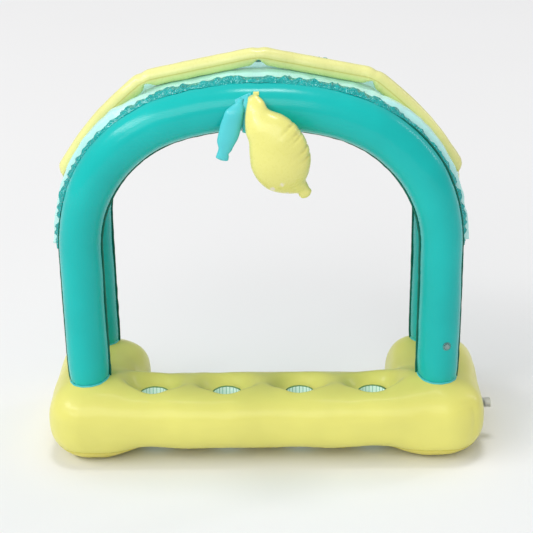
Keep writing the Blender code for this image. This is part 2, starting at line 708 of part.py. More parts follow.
def build_valves(root, front_arch, rear_arch, shell, rib):
    flat = TUBE_RADIUS - VALVE_SEAT_DEPTH
    arches = (("front_arch_valve", front_arch, FRONT_Y), ("rear_arch_valve", rear_arch, REAR_Y))
    for name, arch, y in arches:
        outward = Vector((math.sin(LEG_VALVE_TURN), math.copysign(math.cos(LEG_VALVE_TURN), y), 0))
        place = Vector((ARCH_HALF_SPAN, y, LEG_VALVE_HEIGHT)) + outward * flat
        valve_pieces(name, LARGE_VALVE, arch, root, facing(place, outward, (0, 0, 1)))
    x = -(BASE_WIDTH - BAR_WIDTH) / 2
    place = (x, BASE_DEPTH / 2 - VALVE_SEAT_DEPTH * 2, BASE_VALVE_HEIGHT)
    valve_pieces("base_valve", LARGE_VALVE, shell, root, facing(place, (0, 1, 0), (0, 0, 1)))
    top, bend = rib_corners()[2:4]
    run = (bend - top).normalized()
    middle = top + run * RIB_VALVE_OFFSET
    place = (middle[0], RIB_RADIUS - VALVE_SEAT_DEPTH, middle[1])
    valve_pieces("ridge_valve", SMALL_VALVE, rib, root, facing(place, (0, 1, 0), (0, 0, 1)))


# Lemon and leaves


def hang_point(x, angle, clearance):
    """A point in front of the front arch's crown: angle is up from straight ahead, round the tube."""
    turn = math.asin(x / CROWN_RADIUS)
    reach = TUBE_RADIUS + clearance
    px, pz = polar(CROWN_RADIUS + reach * math.sin(angle), turn, 0.0, CROWN_CENTRE_Z)
    return Vector((px, FRONT_Y - reach * math.cos(angle), pz))


def drape(x, z, clearance):
    """The y at which something hung over the tube's front lies at this place, this far off its skin."""
    reach = TUBE_RADIUS + clearance
    above = z - CROWN_CENTRE_Z - math.sqrt(CROWN_RADIUS**2 - x**2)
    above = min(max(above, 0.0), reach)
    return FRONT_Y - math.sqrt(reach**2 - above**2)


def blown_piece(top, tilt, size, tables, sides, stand):
    """An inflated flat piece that hangs from its top, leans by tilt towards +X and lies over the tube."""
    length, half_width, half_depth = size
    lengths, widths, bows = tables
    rings = [[(0, 0, 0)]]
    for share, width, bow in zip(lengths, widths, bows):
        drop = share * length
        depth = half_depth * width**HANGING_DEPTH_POWER
        x, z = top[0] + drop * math.sin(tilt), top[2] - drop * math.cos(tilt)
        y = drape(x, z, stand + depth) - top[1]
        ring = []
        for i in range(sides):
            turn = 2 * math.pi * i / sides
            across = half_width * (bow + width * math.cos(turn))
            ring.append((across, y + depth * math.sin(turn), -drop))
        rings.append(ring)
    end_y = drape(*tip(top, tilt, length), stand) - top[1] - half_depth / 2
    rings.append([(bows[-1] * half_width, end_y, -length)])
    return loft(rings)


def tip(top, tilt, length):
    return top[0] + length * math.sin(tilt), top[2] - length * math.cos(tilt)


def hanger(name, top, tilt, root):
    """An empty on the hinge line, its -Z down the hanging piece and its X along the hinge."""
    return empty(name, root, Matrix.Translation(top) @ Matrix.Rotation(-tilt, 4, "Y"))


def wrap_film(name, places, angles, finish, root):
    """A film laid on the front arch's skin between two places along it and two angles round it."""
    low_x, high_x = places
    rings = []
    for i in range(WRAP_STEPS + 1):
        turn = blend(*angles, i / WRAP_STEPS)
        row = [hang_point(x, turn, TAB_CLEARANCE) for x in (low_x, high_x)]
        row += [hang_point(x, turn, TAB_CLEARANCE + FILM) for x in (high_x, low_x)]
        rings.append(row)
    return add_object(name, loft(rings), finish, root)


def build_lemon(root):
    """The tab welded to the arch, the lemon that hangs from it, and the small leaf behind the lemon."""
    places = (TAB_X - TAB_WIDTH / 2, TAB_X + TAB_WIDTH / 2)
    wrap_film("lemon_tab", places, (LEMON_TOP_ANGLE - TAB_OVERLAP, TAB_TOP_ANGLE), "lemon_film", root)
    on_tab = TAB_CLEARANCE + FILM + SEAT_GAP
    lemon_stand = on_tab + 2 * SMALL_LEAF_SIZE[2] + SEAT_GAP
    top = hang_point(LEMON_TOP_X, LEMON_TOP_ANGLE, on_tab)
    hinge = hanger("lemon_hinge", top, LEMON_TILT, root)
    tables = (LEMON_LENGTH_SHARES, LEMON_WIDTH_SHARES, LEMON_BOW_SHARES)
    bm = blown_piece(top, LEMON_TILT, LEMON_SIZE, tables, LEMON_SIDES, lemon_stand)
    lemon = add_object("lemon", bm, "lemon_film", hinge)

    x, z = tip(top, LEMON_TILT, LEMON_VALVE_DROP)
    back = drape(x, z, lemon_stand) - top[1] - VALVE_SEAT_DEPTH
    place = (LEMON_VALVE_X, back, -LEMON_VALVE_DROP)
    valve_pieces("lemon_valve", SMALL_VALVE, lemon, hinge, facing(place, (0, 1, 0), (0, 0, 1)))

    leaf_top = hang_point(SMALL_LEAF_TOP_X, SMALL_LEAF_TOP_ANGLE, on_tab)
    bm = blown_piece(leaf_top, SMALL_LEAF_TILT, SMALL_LEAF_SIZE, leaf_tables(), LEAF_SIDES, on_tab)
    leaf = add_object("leaf_small", bm, "leaf_film", root)
    leaf.matrix_local = Matrix.Translation(leaf_top) @ Matrix.Rotation(-SMALL_LEAF_TILT, 4, "Y")


def leaf_tables():
    return LEAF_LENGTH_SHARES, LEAF_WIDTH_SHARES, (0.0,) * len(LEAF_LENGTH_SHARES)


def build_large_leaf(root):
    """A web welded beside the tab, and the large leaf that swings from its lower edge."""
    places = (LEAF_TOP_X - WEB_MARGIN, TAB_X - TAB_WIDTH / 2 - SEAT_GAP)
    low_angle = LEAF_TOP_ANGLE + RUNNING_GAP / TUBE_RADIUS
    wrap_film("leaf_web", places, (low_angle, LEMON_TOP_ANGLE), "leaf_film", root)
    neck = TAB_CLEARANCE + FILM / 2
    top = hang_point(LEAF_TOP_X, LEAF_TOP_ANGLE, neck)
    hinge = hanger("leaf_hinge", top, LEAF_TILT, root)
    bm = blown_piece(top, LEAF_TILT, LEAF_SIZE, leaf_tables(), LEAF_SIDES, TAB_CLEARANCE)
    add_object("leaf_large", bm, "leaf_film", hinge)


def build_hose_fitting(root, shell):
    """A coupling for a garden hose: a welded flange with a spigot, a washer and a nut that turns on it."""
    face = BASE_WIDTH / 2 - HOSE_SEAT_DEPTH
    place = facing((face, HOSE_Y, HOSE_HEIGHT), (1, 0, 0), (0, 0, 1))
    seat = HOSE_FLANGE_RADIUS + SEAT_GAP
    bore = HOSE_SPIGOT_RADIUS + SEAT_GAP
    out = HOSE_SEAT_DEPTH + CUT_OVERRUN
    sink = HOSE_SPIGOT_SINK + SEAT_GAP
    profile = [(0, -sink), (bore, -sink), (bore, 0), (seat, 0), (seat, out), (0, out)]
    cutter = add_cutter("cut_hose_seat", lathe(profile, FITTING_SIDES), root)
    cutter.matrix_local = place
    cut(shell, cutter)

    high = SEAT_GAP + HOSE_FLANGE_THICKNESS
    ring = [(bore, SEAT_GAP), (HOSE_FLANGE_RADIUS, SEAT_GAP), (HOSE_FLANGE_RADIUS, high), (bore, high)]
    flange = add_object("hose_flange", lathe(ring, FITTING_SIDES), "ring_film", root)
    flange.matrix_local = place

    reach = HOSE_SPIGOT_REACH
    neck = HOSE_SPIGOT_RADIUS
    collar_low = reach - HOSE_COLLAR_LENGTH
    wall = [(HOSE_BORE_RADIUS, -HOSE_SPIGOT_SINK), (neck, -HOSE_SPIGOT_SINK), (neck, collar_low)]
    wall += [(HOSE_COLLAR_RADIUS, collar_low), (HOSE_COLLAR_RADIUS, reach), (HOSE_BORE_RADIUS, reach)]
    spigot = add_object("hose_spigot", lathe(wall, FITTING_SIDES), "clear_plastic", root)
    spigot.matrix_local = place

    washer_low = reach + SEAT_GAP
    washer_high = washer_low + HOSE_WASHER_THICKNESS
    rubber = HOSE_NUT_BORE_RADIUS - RUNNING_GAP
    disc = [(HOSE_BORE_RADIUS, washer_low), (rubber, washer_low)]
    disc += [(rubber, washer_high), (HOSE_BORE_RADIUS, washer_high)]
    washer = add_object("hose_washer", lathe(disc, FITTING_SIDES), "washer_rubber", root)
    washer.matrix_local = place

    nut_low = collar_low - SEAT_GAP - HOSE_NUT_WALL
    nut_high = nut_low + HOSE_NUT_LENGTH
    hole = neck + RUNNING_GAP
    grip = HOSE_NUT_RADIUS
    shape = [(hole, nut_low), (grip, nut_low), (grip, nut_high), (HOSE_NUT_BORE_RADIUS, nut_high)]
    shape += [(HOSE_NUT_BORE_RADIUS, nut_low + HOSE_NUT_WALL), (hole, nut_low + HOSE_NUT_WALL)]
    bm = lathe(shape, FITTING_SIDES, HOSE_NUT_GROOVE_DEPTH)
    nut = add_object("hose_nut", bm, "clear_plastic", root)
    nut.matrix_local = place


def centre_on_origin(root):
    """Stands the whole on the origin: the middle of its box, on the floor."""
    bpy.context.view_layer.update()
    graph = bpy.context.evaluated_depsgraph_get()
    corners = []
    for obj in bpy.data.objects:
        if obj.type != "MESH" or obj.hide_render:
            continue
        evaluated = obj.evaluated_get(graph)
        corners += [evaluated.matrix_world @ Vector(corner) for corner in evaluated.bound_box]
    low = [min(corner[k] for corner in corners) for k in range(3)]
    high = [max(corner[k] for corner in corners) for k in range(3)]
    root.location = (-(low[0] + high[0]) / 2, -(low[1] + high[1]) / 2, -low[2])


def main():
    clear_scene()
    root = empty("stand", None)
    shell = build_base(root)
    front_arch = build_arch("front_arch", FRONT_Y, root)
    rear_arch = build_arch("rear_arch", REAR_Y, root)
    build_canopy(root)
    build_sleeve("front_sleeve", FRONT_Y, 1, root)
    build_sleeve("rear_sleeve", REAR_Y, -1, root)
    rib = build_rib(root)
    build_valves(root, front_arch, rear_arch, shell, rib)
    build_lemon(root)
    build_large_leaf(root)
    build_hose_fitting(root, shell)
    centre_on_origin(root)


main()
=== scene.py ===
"""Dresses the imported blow-up drinks bar: puffed vinyl, welds, crinkled film, lemon, valves and lights.

Lengths are in metres. Pieces are worked out in the stand's frame, whose origin lies on the floor midway
between the two arches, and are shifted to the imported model's frame when their mesh is made.
"""

import json
import logging
import math
from collections.abc import Sequence
from dataclasses import dataclass, field
from enum import Enum

import bpy
import numpy as np
from mathutils import Matrix, Vector, noise
from mathutils.bvhtree import BVHTree


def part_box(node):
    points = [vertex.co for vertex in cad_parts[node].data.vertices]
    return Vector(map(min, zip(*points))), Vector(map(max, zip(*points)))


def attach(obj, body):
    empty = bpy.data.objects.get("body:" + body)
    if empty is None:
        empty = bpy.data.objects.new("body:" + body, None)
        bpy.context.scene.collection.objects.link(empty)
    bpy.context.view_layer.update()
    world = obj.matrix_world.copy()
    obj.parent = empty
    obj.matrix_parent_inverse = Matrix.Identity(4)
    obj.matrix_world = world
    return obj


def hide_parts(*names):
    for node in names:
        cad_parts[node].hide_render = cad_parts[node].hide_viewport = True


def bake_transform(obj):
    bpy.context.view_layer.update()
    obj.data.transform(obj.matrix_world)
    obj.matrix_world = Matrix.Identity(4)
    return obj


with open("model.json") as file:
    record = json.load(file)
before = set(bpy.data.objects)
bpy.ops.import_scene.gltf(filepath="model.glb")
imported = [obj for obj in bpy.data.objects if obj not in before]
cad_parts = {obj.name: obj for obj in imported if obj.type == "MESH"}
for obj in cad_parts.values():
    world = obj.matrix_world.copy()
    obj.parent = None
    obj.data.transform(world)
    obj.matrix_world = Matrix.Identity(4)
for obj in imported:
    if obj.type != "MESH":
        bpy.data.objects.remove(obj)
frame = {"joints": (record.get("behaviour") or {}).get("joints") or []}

log = logging.getLogger("drinks_bar")

Array = np.ndarray
Colour = tuple[float, float, float]


class Row(Enum):
    """Which of the two arches, by the sign of its Y."""

    FRONT = -1
    REAR = 1


class Side(Enum):
    """Left or right as the camera sees it, by the sign of X."""

    LEFT = -1
    RIGHT = 1


class End(Enum):
    """What closes the first or last row of a grid."""

    OPEN = "open"
    FAN = "fan"


# Small mathematics


def blend(a: Array | float, b: Array | float, share: Array | float) -> Array | float:
    """Moves from a to b by a share."""
    return a + (b - a) * share


def smooth_step(value: Array | float, start: Array | float, end: Array | float) -> Array:
    """Rises smoothly from 0 at start to 1 at end."""
    share = np.clip((np.asarray(value, float) - start) / (np.asarray(end, float) - start), 0.0, 1.0)
    return share * share * (3 - 2 * share)


def bell(distance: Array, width: float) -> Array:
    """A soft hump of height 1 that is gone a little past its width."""
    return np.exp(-((distance / width) ** 2))


def wander(points: Array, scale: float, seed: float = 0.0) -> Array:
    """Smooth noise between about -1 and 1.

    Args:
        points: places, in rows of three along the last axis.
        scale: the size of one lump, in metres.
        seed: moves the pattern, so that two uses differ.

    Returns:
        One value for each place.
    """
    flat = points.reshape(-1, 3) / scale + seed
    values = np.fromiter((noise.noise(Vector(p)) for p in flat), float, len(flat))
    return values.reshape(points.shape[:-1]) * 1.6


def ridges(points: Array, scale: float, seed: float = 0.0) -> Array:
    """Sharp-crested noise between 0 and 1, as creased film shows."""
    return np.clip(1 - np.abs(wander(points, scale, seed)), 0.0, 1.0)


def grid_normals(grid: Array, wrap: bool) -> Array:
    """Unit normals of a grid of points, pointing away from its middle line.

    Args:
        grid: points in rows and columns.
        wrap: whether the last column meets the first.

    Returns:
        One normal for each point.
    """
    along = np.gradient(grid, axis=0)
    if wrap:
        around = np.roll(grid, -1, axis=1) - np.roll(grid, 1, axis=1)
    else:
        around = np.gradient(grid, axis=1)
    normal = np.cross(along, around)
    normal /= np.maximum(np.linalg.norm(normal, axis=2, keepdims=True), 1e-12)
    outward = grid - grid.mean(axis=1, keepdims=True)
    if (normal * outward).sum() < 0:
        normal = -normal
    return normal


@dataclass(frozen=True)
class Crease:
    """A short valley pressed into film between two places."""

    start: tuple[float, float, float]
    end: tuple[float, float, float]
    depth: float
    width: float

    def press(self, points: Array) -> Array:
        """How far in each place goes."""
        a, b = np.array(self.start), np.array(self.end)
        run = b - a
        share = np.clip(((points - a) @ run) / (run @ run), 0.0, 1.0)
        distance = np.linalg.norm(points - a - share[..., None] * run, axis=-1)
        fade = np.sqrt(np.clip(np.sin(np.pi * (0.06 + 0.88 * share)), 0.0, 1.0))
        return self.depth * fade * bell(distance, self.width)


def creased(grid: Array, creases: Sequence[Crease], wrap: bool) -> Array:
    """Presses creases into a grid along its normals."""
    depth = sum(crease.press(grid) for crease in creases)
    return grid - grid_normals(grid, wrap) * depth[..., None]


# Meshes


def stand_shift() -> Vector:
    """Where the stand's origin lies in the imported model."""
    low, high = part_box("base_shell")
    return Vector(((low.x + high.x) / 2, (low.y + high.y) / 2, 0.0))


SHIFT = stand_shift()

# Radii of the large and the small valve's flange, and of the flat under the rib's own valve
LARGE_FLANGE = 0.0140
SMALL_FLANGE = 0.0110
RIB_SEAT = 0.0115
# From a valve flange's middle to its back
FLANGE_BACK = 0.0010
# A seat flattens film this near to its plane, and fades out at this many radii
SEAT_REACH = 0.02
SEAT_FADE = 1.7
# Keeps a division off zero
TINY = 1e-9


def seated(grid: Array, centre: Array, out: Array, radius: float) -> Array:
    """Draws film flat against the back of a flange welded to it.

    Args:
        grid: the film's points.
        centre: the middle of the flange's back, in the stand's frame.
        out: the direction that the flange faces.
        radius: the flange's radius.

    Returns:
        The moved points.
    """
    offset = grid - centre
    height = offset @ out
    aside = np.linalg.norm(offset - height[..., None] * out, axis=-1)
    share = (1 - smooth_step(aside, radius, radius * SEAT_FADE)) * (np.abs(height) < SEAT_REACH)
    return grid - (share * height)[..., None] * out


def valve_seat(name: str) -> tuple[Array, Array]:
    """The middle of a valve flange's back in the stand's frame, and the direction that it faces."""
    joints = {joint["name"]: joint for joint in frame["joints"]}
    out = Vector(joints[f"{name}_pull"]["axis"]).normalized()
    low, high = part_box(f"{name}_flange")
    return np.array((low + high) / 2 - out * FLANGE_BACK - SHIFT), np.array(out)


def node_centre(node: str) -> Vector:
    """The middle of a CAD node's box, in the stand's frame."""
    low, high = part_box(node)
    return (low + high) / 2 - SHIFT


def mesh_object(name: str, points: Array, faces: Sequence[Sequence[int]] | Array,
                smooth: bool = True) -> bpy.types.Object:
    """Makes an object from points in the stand's frame.

    Args:
        name: the piece's name.
        points: one row for each corner.
        faces: the corner numbers of each face.
        smooth: whether it is shaded smooth.

    Returns:
        The new object, at the origin.
    """
    mesh = bpy.data.meshes.new(name)
    face_lists = faces if isinstance(faces, list) else faces.tolist()
    mesh.from_pydata((points + np.array(SHIFT)).tolist(), [], face_lists)
    mesh.update()
    if smooth:
        mesh.shade_smooth()
    obj = bpy.data.objects.new(name, mesh)
    bpy.context.scene.collection.objects.link(obj)
    return obj


def grid_faces(rows: int, columns: int, wrap: bool, flip: bool) -> Array:
    """The four-cornered faces of a grid of points."""
    index = np.arange(rows * columns).reshape(rows, columns)
    right = np.roll(index, -1, axis=1)
    if not wrap:
        index, right = index[:, :-1], right[:, :-1]
    corners = [index[:-1], right[:-1], right[1:], index[1:]]
    if flip:
        corners = corners[::-1]
    return np.stack([c.reshape(-1) for c in corners], axis=1)


def skin(name: str, grid: Array, wrap: bool = True, ends: tuple[End, End] = (End.OPEN, End.OPEN),
         outside: Array | None = None) -> bpy.types.Object:
    """Makes an object from a grid of points.

    Args:
        name: the piece's name.
        grid: points in rows and columns.
        wrap: whether the last column meets the first.
        ends: what closes the first and last rows.
        outside: a direction that an open sheet faces; a tube faces away from its middle line.

    Returns:
        The new object, its faces pointing outwards.
    """
    rows, columns = grid.shape[:2]
    points = grid.reshape(-1, 3)
    faces = grid_faces(rows, columns, wrap, False)
    a, b, d = points[faces[:, 0]], points[faces[:, 1]], points[faces[:, 3]]
    normal = np.cross(b - a, d - a)
    if outside is None:
        middle = np.repeat(grid.mean(axis=1), columns, axis=0)
        towards = a - middle[faces[:, 0]]
    else:
        towards = np.broadcast_to(outside, a.shape)
    flip = bool((normal * towards).sum() < 0)
    faces = grid_faces(rows, columns, wrap, flip).tolist()
    extra = []
    for which, row in ((0, 0), (1, rows - 1)):
        if ends[which] is End.FAN:
            centre = len(points) + len(extra)
            extra.append(grid[row].mean(axis=0))
            loop = [row * columns + k for k in range(columns)]
            if (which == 1) != flip:
                pairs = zip(loop, loop[1:] + loop[:1])
            else:
                pairs = zip(loop[1:] + loop[:1], loop)
            faces += [[i, j, centre] for i, j in pairs]
    if extra:
        points = np.vstack([points, np.array(extra)])
    return mesh_object(name, points, faces)


def mark(obj: bpy.types.Object, name: str, values: Array) -> None:
    """Stores a number for each corner, which a finish reads by name."""
    flat = np.zeros(len(obj.data.vertices), np.float32)
    flat[: values.size] = values.reshape(-1)
    attribute = obj.data.attributes.new(name, "FLOAT", "POINT")
    attribute.data.foreach_set("value", flat)


def apply_modifiers(obj: bpy.types.Object) -> None:
    """Applies all of an object's modifiers in their order."""
    bpy.ops.object.select_all(action="DESELECT")
    obj.select_set(True)
    bpy.context.view_layer.objects.active = obj
    for modifier in list(obj.modifiers):
        bpy.ops.object.modifier_apply(modifier=modifier.name)


def thicken(obj: bpy.types.Object, thickness: float, offset: float = 0.0) -> None:
    """Gives an open film its thickness."""
    solid = obj.modifiers.new("film", "SOLIDIFY")
    solid.thickness = thickness
    solid.offset = offset
    apply_modifiers(obj)


# Finishes


def add_node(tree: bpy.types.NodeTree, kind: str, **inputs: object) -> bpy.types.Node:
    """Adds a shader node; a name that is an input's is set on it, and any other on the node."""
    made = tree.nodes.new(kind)
    for key, value in inputs.items():
        label = key.replace("_", " ")
        if label in made.inputs:
            made.inputs[label].default_value = value
        else:
            setattr(made, key, value)
    return made


@dataclass(frozen=True)
class Film:
    """Soft vinyl film: its colour wanders a little, and fine ripples break up its sheen; some films also glow
    in their own colour, which is painted light.
    """

    name: str
    colour: Colour
    roughness: float = 0.40
    clouds: float = 0.05
    ripple: float = 0.0006
    ripple_size: float = 0.030
    crinkle: float = 0.0
    crinkle_size: float = 0.012
    weld_colour: Colour | None = None
    coat: float = 0.15
    glow: float = 0.08
    # painted_glow: how strongly the film glows in its own colour, painted light with no lamp behind it
    painted_glow: float = 0.0
    specular: float = 0.30
    spot_colour: Colour | None = None

    def material(self) -> bpy.types.Material:
        """Builds the finish, or returns it if it is already there."""
        name = f"{self.name}_finish"  # the CAD's own materials come in under the plain names
        found = bpy.data.materials.get(name)
        if found:
            return found
        made = bpy.data.materials.new(name)
        made.use_nodes = True
        tree = made.node_tree
        link = tree.links.new
        shader = tree.nodes["Principled BSDF"]
        shader.inputs["Specular IOR Level"].default_value = self.specular
        # The film glowing in its own colour is painted light: it brightens the shade that falls on it
        shader.inputs["Emission Color"].default_value = (*self.colour, 1)
        shader.inputs["Emission Strength"].default_value = self.painted_glow
        shader.inputs["Coat Weight"].default_value = self.coat
        shader.inputs["Coat Roughness"].default_value = 0.14
        shader.inputs["Subsurface Weight"].default_value = self.glow
        shader.inputs["Subsurface Radius"].default_value = (0.02, 0.02, 0.015)
        place = add_node(tree, "ShaderNodeTexCoord").outputs["Object"]

        large = add_node(tree, "ShaderNodeTexNoise", Scale=5.0, Detail=2.0, Roughness=0.5)
        link(place, large.inputs["Vector"])
        tint = add_node(tree, "ShaderNodeMix", data_type="RGBA")
        tint.inputs[6].default_value = (*[c * (1 - self.clouds) for c in self.colour], 1)
        tint.inputs[7].default_value = (*[min(1.0, c * (1 + self.clouds)) for c in self.colour], 1)
        spread = add_node(tree, "ShaderNodeMapRange")
        spread.inputs["From Min"].default_value = 0.3
        spread.inputs["From Max"].default_value = 0.7
        link(large.outputs["Fac"], spread.inputs["Value"])
        link(spread.outputs["Result"], tint.inputs[0])
        colour = tint.outputs[2]

        weld = add_node(tree, "ShaderNodeAttribute", attribute_name="weld")
        if self.weld_colour:
            line = add_node(tree, "ShaderNodeMix", data_type="RGBA")
            line.inputs[7].default_value = (*self.weld_colour, 1)
            link(weld.outputs["Fac"], line.inputs[0])
            link(colour, line.inputs[6])
            colour = line.outputs[2]
        if self.spot_colour:
            spots = add_node(tree, "ShaderNodeAttribute", attribute_name="spots")
            dot = add_node(tree, "ShaderNodeMix", data_type="RGBA")
            dot.inputs[7].default_value = (*self.spot_colour, 1)
            link(spots.outputs["Fac"], dot.inputs[0])
            link(colour, dot.inputs[6])
            colour = dot.outputs[2]
        link(colour, shader.inputs["Base Color"])

        fine = add_node(tree, "ShaderNodeTexNoise", Scale=85.0, Detail=3.0, Roughness=0.6)
        link(place, fine.inputs["Vector"])
        gloss = add_node(tree, "ShaderNodeMapRange")
        gloss.inputs["To Min"].default_value = max(0.05, self.roughness - 0.06)
        gloss.inputs["To Max"].default_value = self.roughness + 0.06
        link(fine.outputs["Fac"], gloss.inputs["Value"])
        link(gloss.outputs["Result"], shader.inputs["Roughness"])

        soft = add_node(tree, "ShaderNodeTexNoise", Scale=1 / self.ripple_size, Detail=2.0, Roughness=0.45)
        link(place, soft.inputs["Vector"])
        bump = add_node(tree, "ShaderNodeBump", Strength=1.0, Distance=self.ripple)
        link(soft.outputs["Fac"], bump.inputs["Height"])
        if self.crinkle:
            warp = add_node(tree, "ShaderNodeTexNoise", Scale=0.6 / self.crinkle_size, Detail=1.0)
            link(place, warp.inputs["Vector"])
            moved = add_node(tree, "ShaderNodeMix", data_type="VECTOR")
            moved.inputs[0].default_value = 0.06
            link(place, moved.inputs[4])
            link(warp.outputs["Color"], moved.inputs[5])
            cells = add_node(tree, "ShaderNodeTexVoronoi", feature="F2", Scale=1 / self.crinkle_size)
            link(moved.outputs[1], cells.inputs["Vector"])
            sharp = add_node(tree, "ShaderNodeBump", Strength=1.0, Distance=self.crinkle)
            link(cells.outputs["Distance"], sharp.inputs["Height"])
            link(bump.outputs["Normal"], sharp.inputs["Normal"])
            bump = sharp
        grain = add_node(tree, "ShaderNodeBump", Strength=0.6, Distance=0.00004)
        link(fine.outputs["Fac"], grain.inputs["Height"])
        link(bump.outputs["Normal"], grain.inputs["Normal"])
        link(grain.outputs["Normal"], shader.inputs["Normal"])
        return made

    def dress(self, obj: bpy.types.Object) -> None:
        """Puts the finish on a piece."""
        obj.data.materials.clear()
        obj.data.materials.append(self.material())


@dataclass(frozen=True)
class ClearPlastic:
    """Clear soft plastic, a little cloudy, with moulding ripples."""

    name: str
    colour: Colour
    roughness: float = 0.16
    clear: float = 0.55

    def material(self) -> bpy.types.Material:
        """Builds the finish, or returns it if it is already there."""
        name = f"{self.name}_finish"  # the CAD's own materials come in under the plain names
        found = bpy.data.materials.get(name)
        if found:
            return found
        made = bpy.data.materials.new(name)
        made.use_nodes = True
        tree = made.node_tree
        link = tree.links.new
        shader = tree.nodes["Principled BSDF"]
        shader.inputs["Transmission Weight"].default_value = self.clear
        shader.inputs["IOR"].default_value = 1.45
        place = add_node(tree, "ShaderNodeTexCoord").outputs["Object"]
        haze = add_node(tree, "ShaderNodeTexNoise", Scale=260.0, Detail=2.0)
        link(place, haze.inputs["Vector"])
        tint = add_node(tree, "ShaderNodeMix", data_type="RGBA")
        tint.inputs[6].default_value = (*[c * 0.93 for c in self.colour], 1)
        tint.inputs[7].default_value = (*[min(1.0, c * 1.04) for c in self.colour], 1)
        link(haze.outputs["Fac"], tint.inputs[0])
        link(tint.outputs[2], shader.inputs["Base Color"])
        gloss = add_node(tree, "ShaderNodeMapRange")
        gloss.inputs["To Min"].default_value = self.roughness * 0.6
        gloss.inputs["To Max"].default_value = self.roughness * 1.5
        link(haze.outputs["Fac"], gloss.inputs["Value"])
        link(gloss.outputs["Result"], shader.inputs["Roughness"])
        bump = add_node(tree, "ShaderNodeBump", Strength=0.5, Distance=0.0001)
        link(haze.outputs["Fac"], bump.inputs["Height"])
        link(bump.outputs["Normal"], shader.inputs["Normal"])
        return made

    def dress(self, obj: bpy.types.Object) -> None:
        """Puts the finish on a piece."""
        obj.data.materials.clear()
        obj.data.materials.append(self.material())


YELLOW_WELD = (0.62, 0.55, 0.10)
BASE_FILM = Film("base_film", (0.80, 0.76, 0.19), 0.36, weld_colour=YELLOW_WELD)
BOTTOM_FILM = Film("bottom_film", (0.80, 0.72, 0.15), 0.42, weld_colour=YELLOW_WELD)
HEM_FILM = Film("hem_film", (0.72, 0.66, 0.12), 0.45)
# The wells' film glows in its own colour: painted light that lifts the shade inside the wells
WELL_FILM = Film("well_film", (0.78, 0.95, 0.86), 0.34, weld_colour=(0.10, 0.42, 0.30), painted_glow=0.10)
WELL_RIM = Film("well_rim_film", (0.13, 0.30, 0.10), 0.42)
ARCH_FILM = Film("arch_film", (0.008, 0.50, 0.47), 0.24, weld_colour=(0.0, 0.27, 0.21), coat=0.12, glow=0.02,
                 specular=0.2)
SEAM_FILM = Film("seam_film", (0.008, 0.19, 0.14), 0.40, weld_colour=(0.004, 0.15, 0.10), coat=0.0)
RING_FILM = Film("ring_film", (0.07, 0.58, 0.60), 0.38)
SLEEVE_FILM = Film("sleeve_film", (0.0, 0.42, 0.40), 0.16, crinkle=0.005, crinkle_size=0.012, coat=0.4,
                   specular=0.5)
# The roof film glows a little in its own colour: painted light that evens out the shade across it
ROOF_FILM = Film("roof_film", (0.50, 0.86, 0.82), 0.26, crinkle=0.0008, crinkle_size=0.03, painted_glow=0.05)
RIB_FILM = Film("rib_film", (0.84, 0.83, 0.33), 0.28, weld_colour=(0.62, 0.55, 0.12), coat=0.25)
LEMON_FILM = Film("lemon_film", (0.83, 0.80, 0.24), 0.28, weld_colour=YELLOW_WELD, coat=0.25,
                  spot_colour=(0.93, 0.86, 0.70))
LEAF_FILM = Film("leaf_film", (0.09, 0.63, 0.68), 0.32, weld_colour=(0.02, 0.40, 0.46), coat=0.2)
CLEAR_PLASTIC = ClearPlastic("clear_plastic", (0.34, 0.52, 0.50), 0.38, 0.35)
FLANGE_PLASTIC = ClearPlastic("flange_plastic", (0.70, 0.86, 0.85), 0.20, 0.92)
NUT_PLASTIC = ClearPlastic("nut_plastic", (0.96, 0.97, 0.94), 0.30, 0.82)
RUBBER = Film("washer_rubber", (0.03, 0.03, 0.03), 0.60, ripple_size=0.004, ripple=0.0001, coat=0.0, glow=0.0)


def settle(obj: bpy.types.Object, finish: Film | ClearPlastic, body: str = "stand",
           replaces: Sequence[str] = ()) -> bpy.types.Object:
    """Dresses a finished piece and hands it to its CAD body.

    Args:
        obj: the piece.
        finish: its finish.
        body: the CAD body that it moves with.
        replaces: the CAD nodes that it stands for.

    Returns:
        The same piece.
    """
    finish.dress(obj)
    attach(obj, body)
    if replaces:
        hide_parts(*replaces)
    log.info("%s: %d faces", obj.name, len(obj.data.polygons))
    return obj


# Base


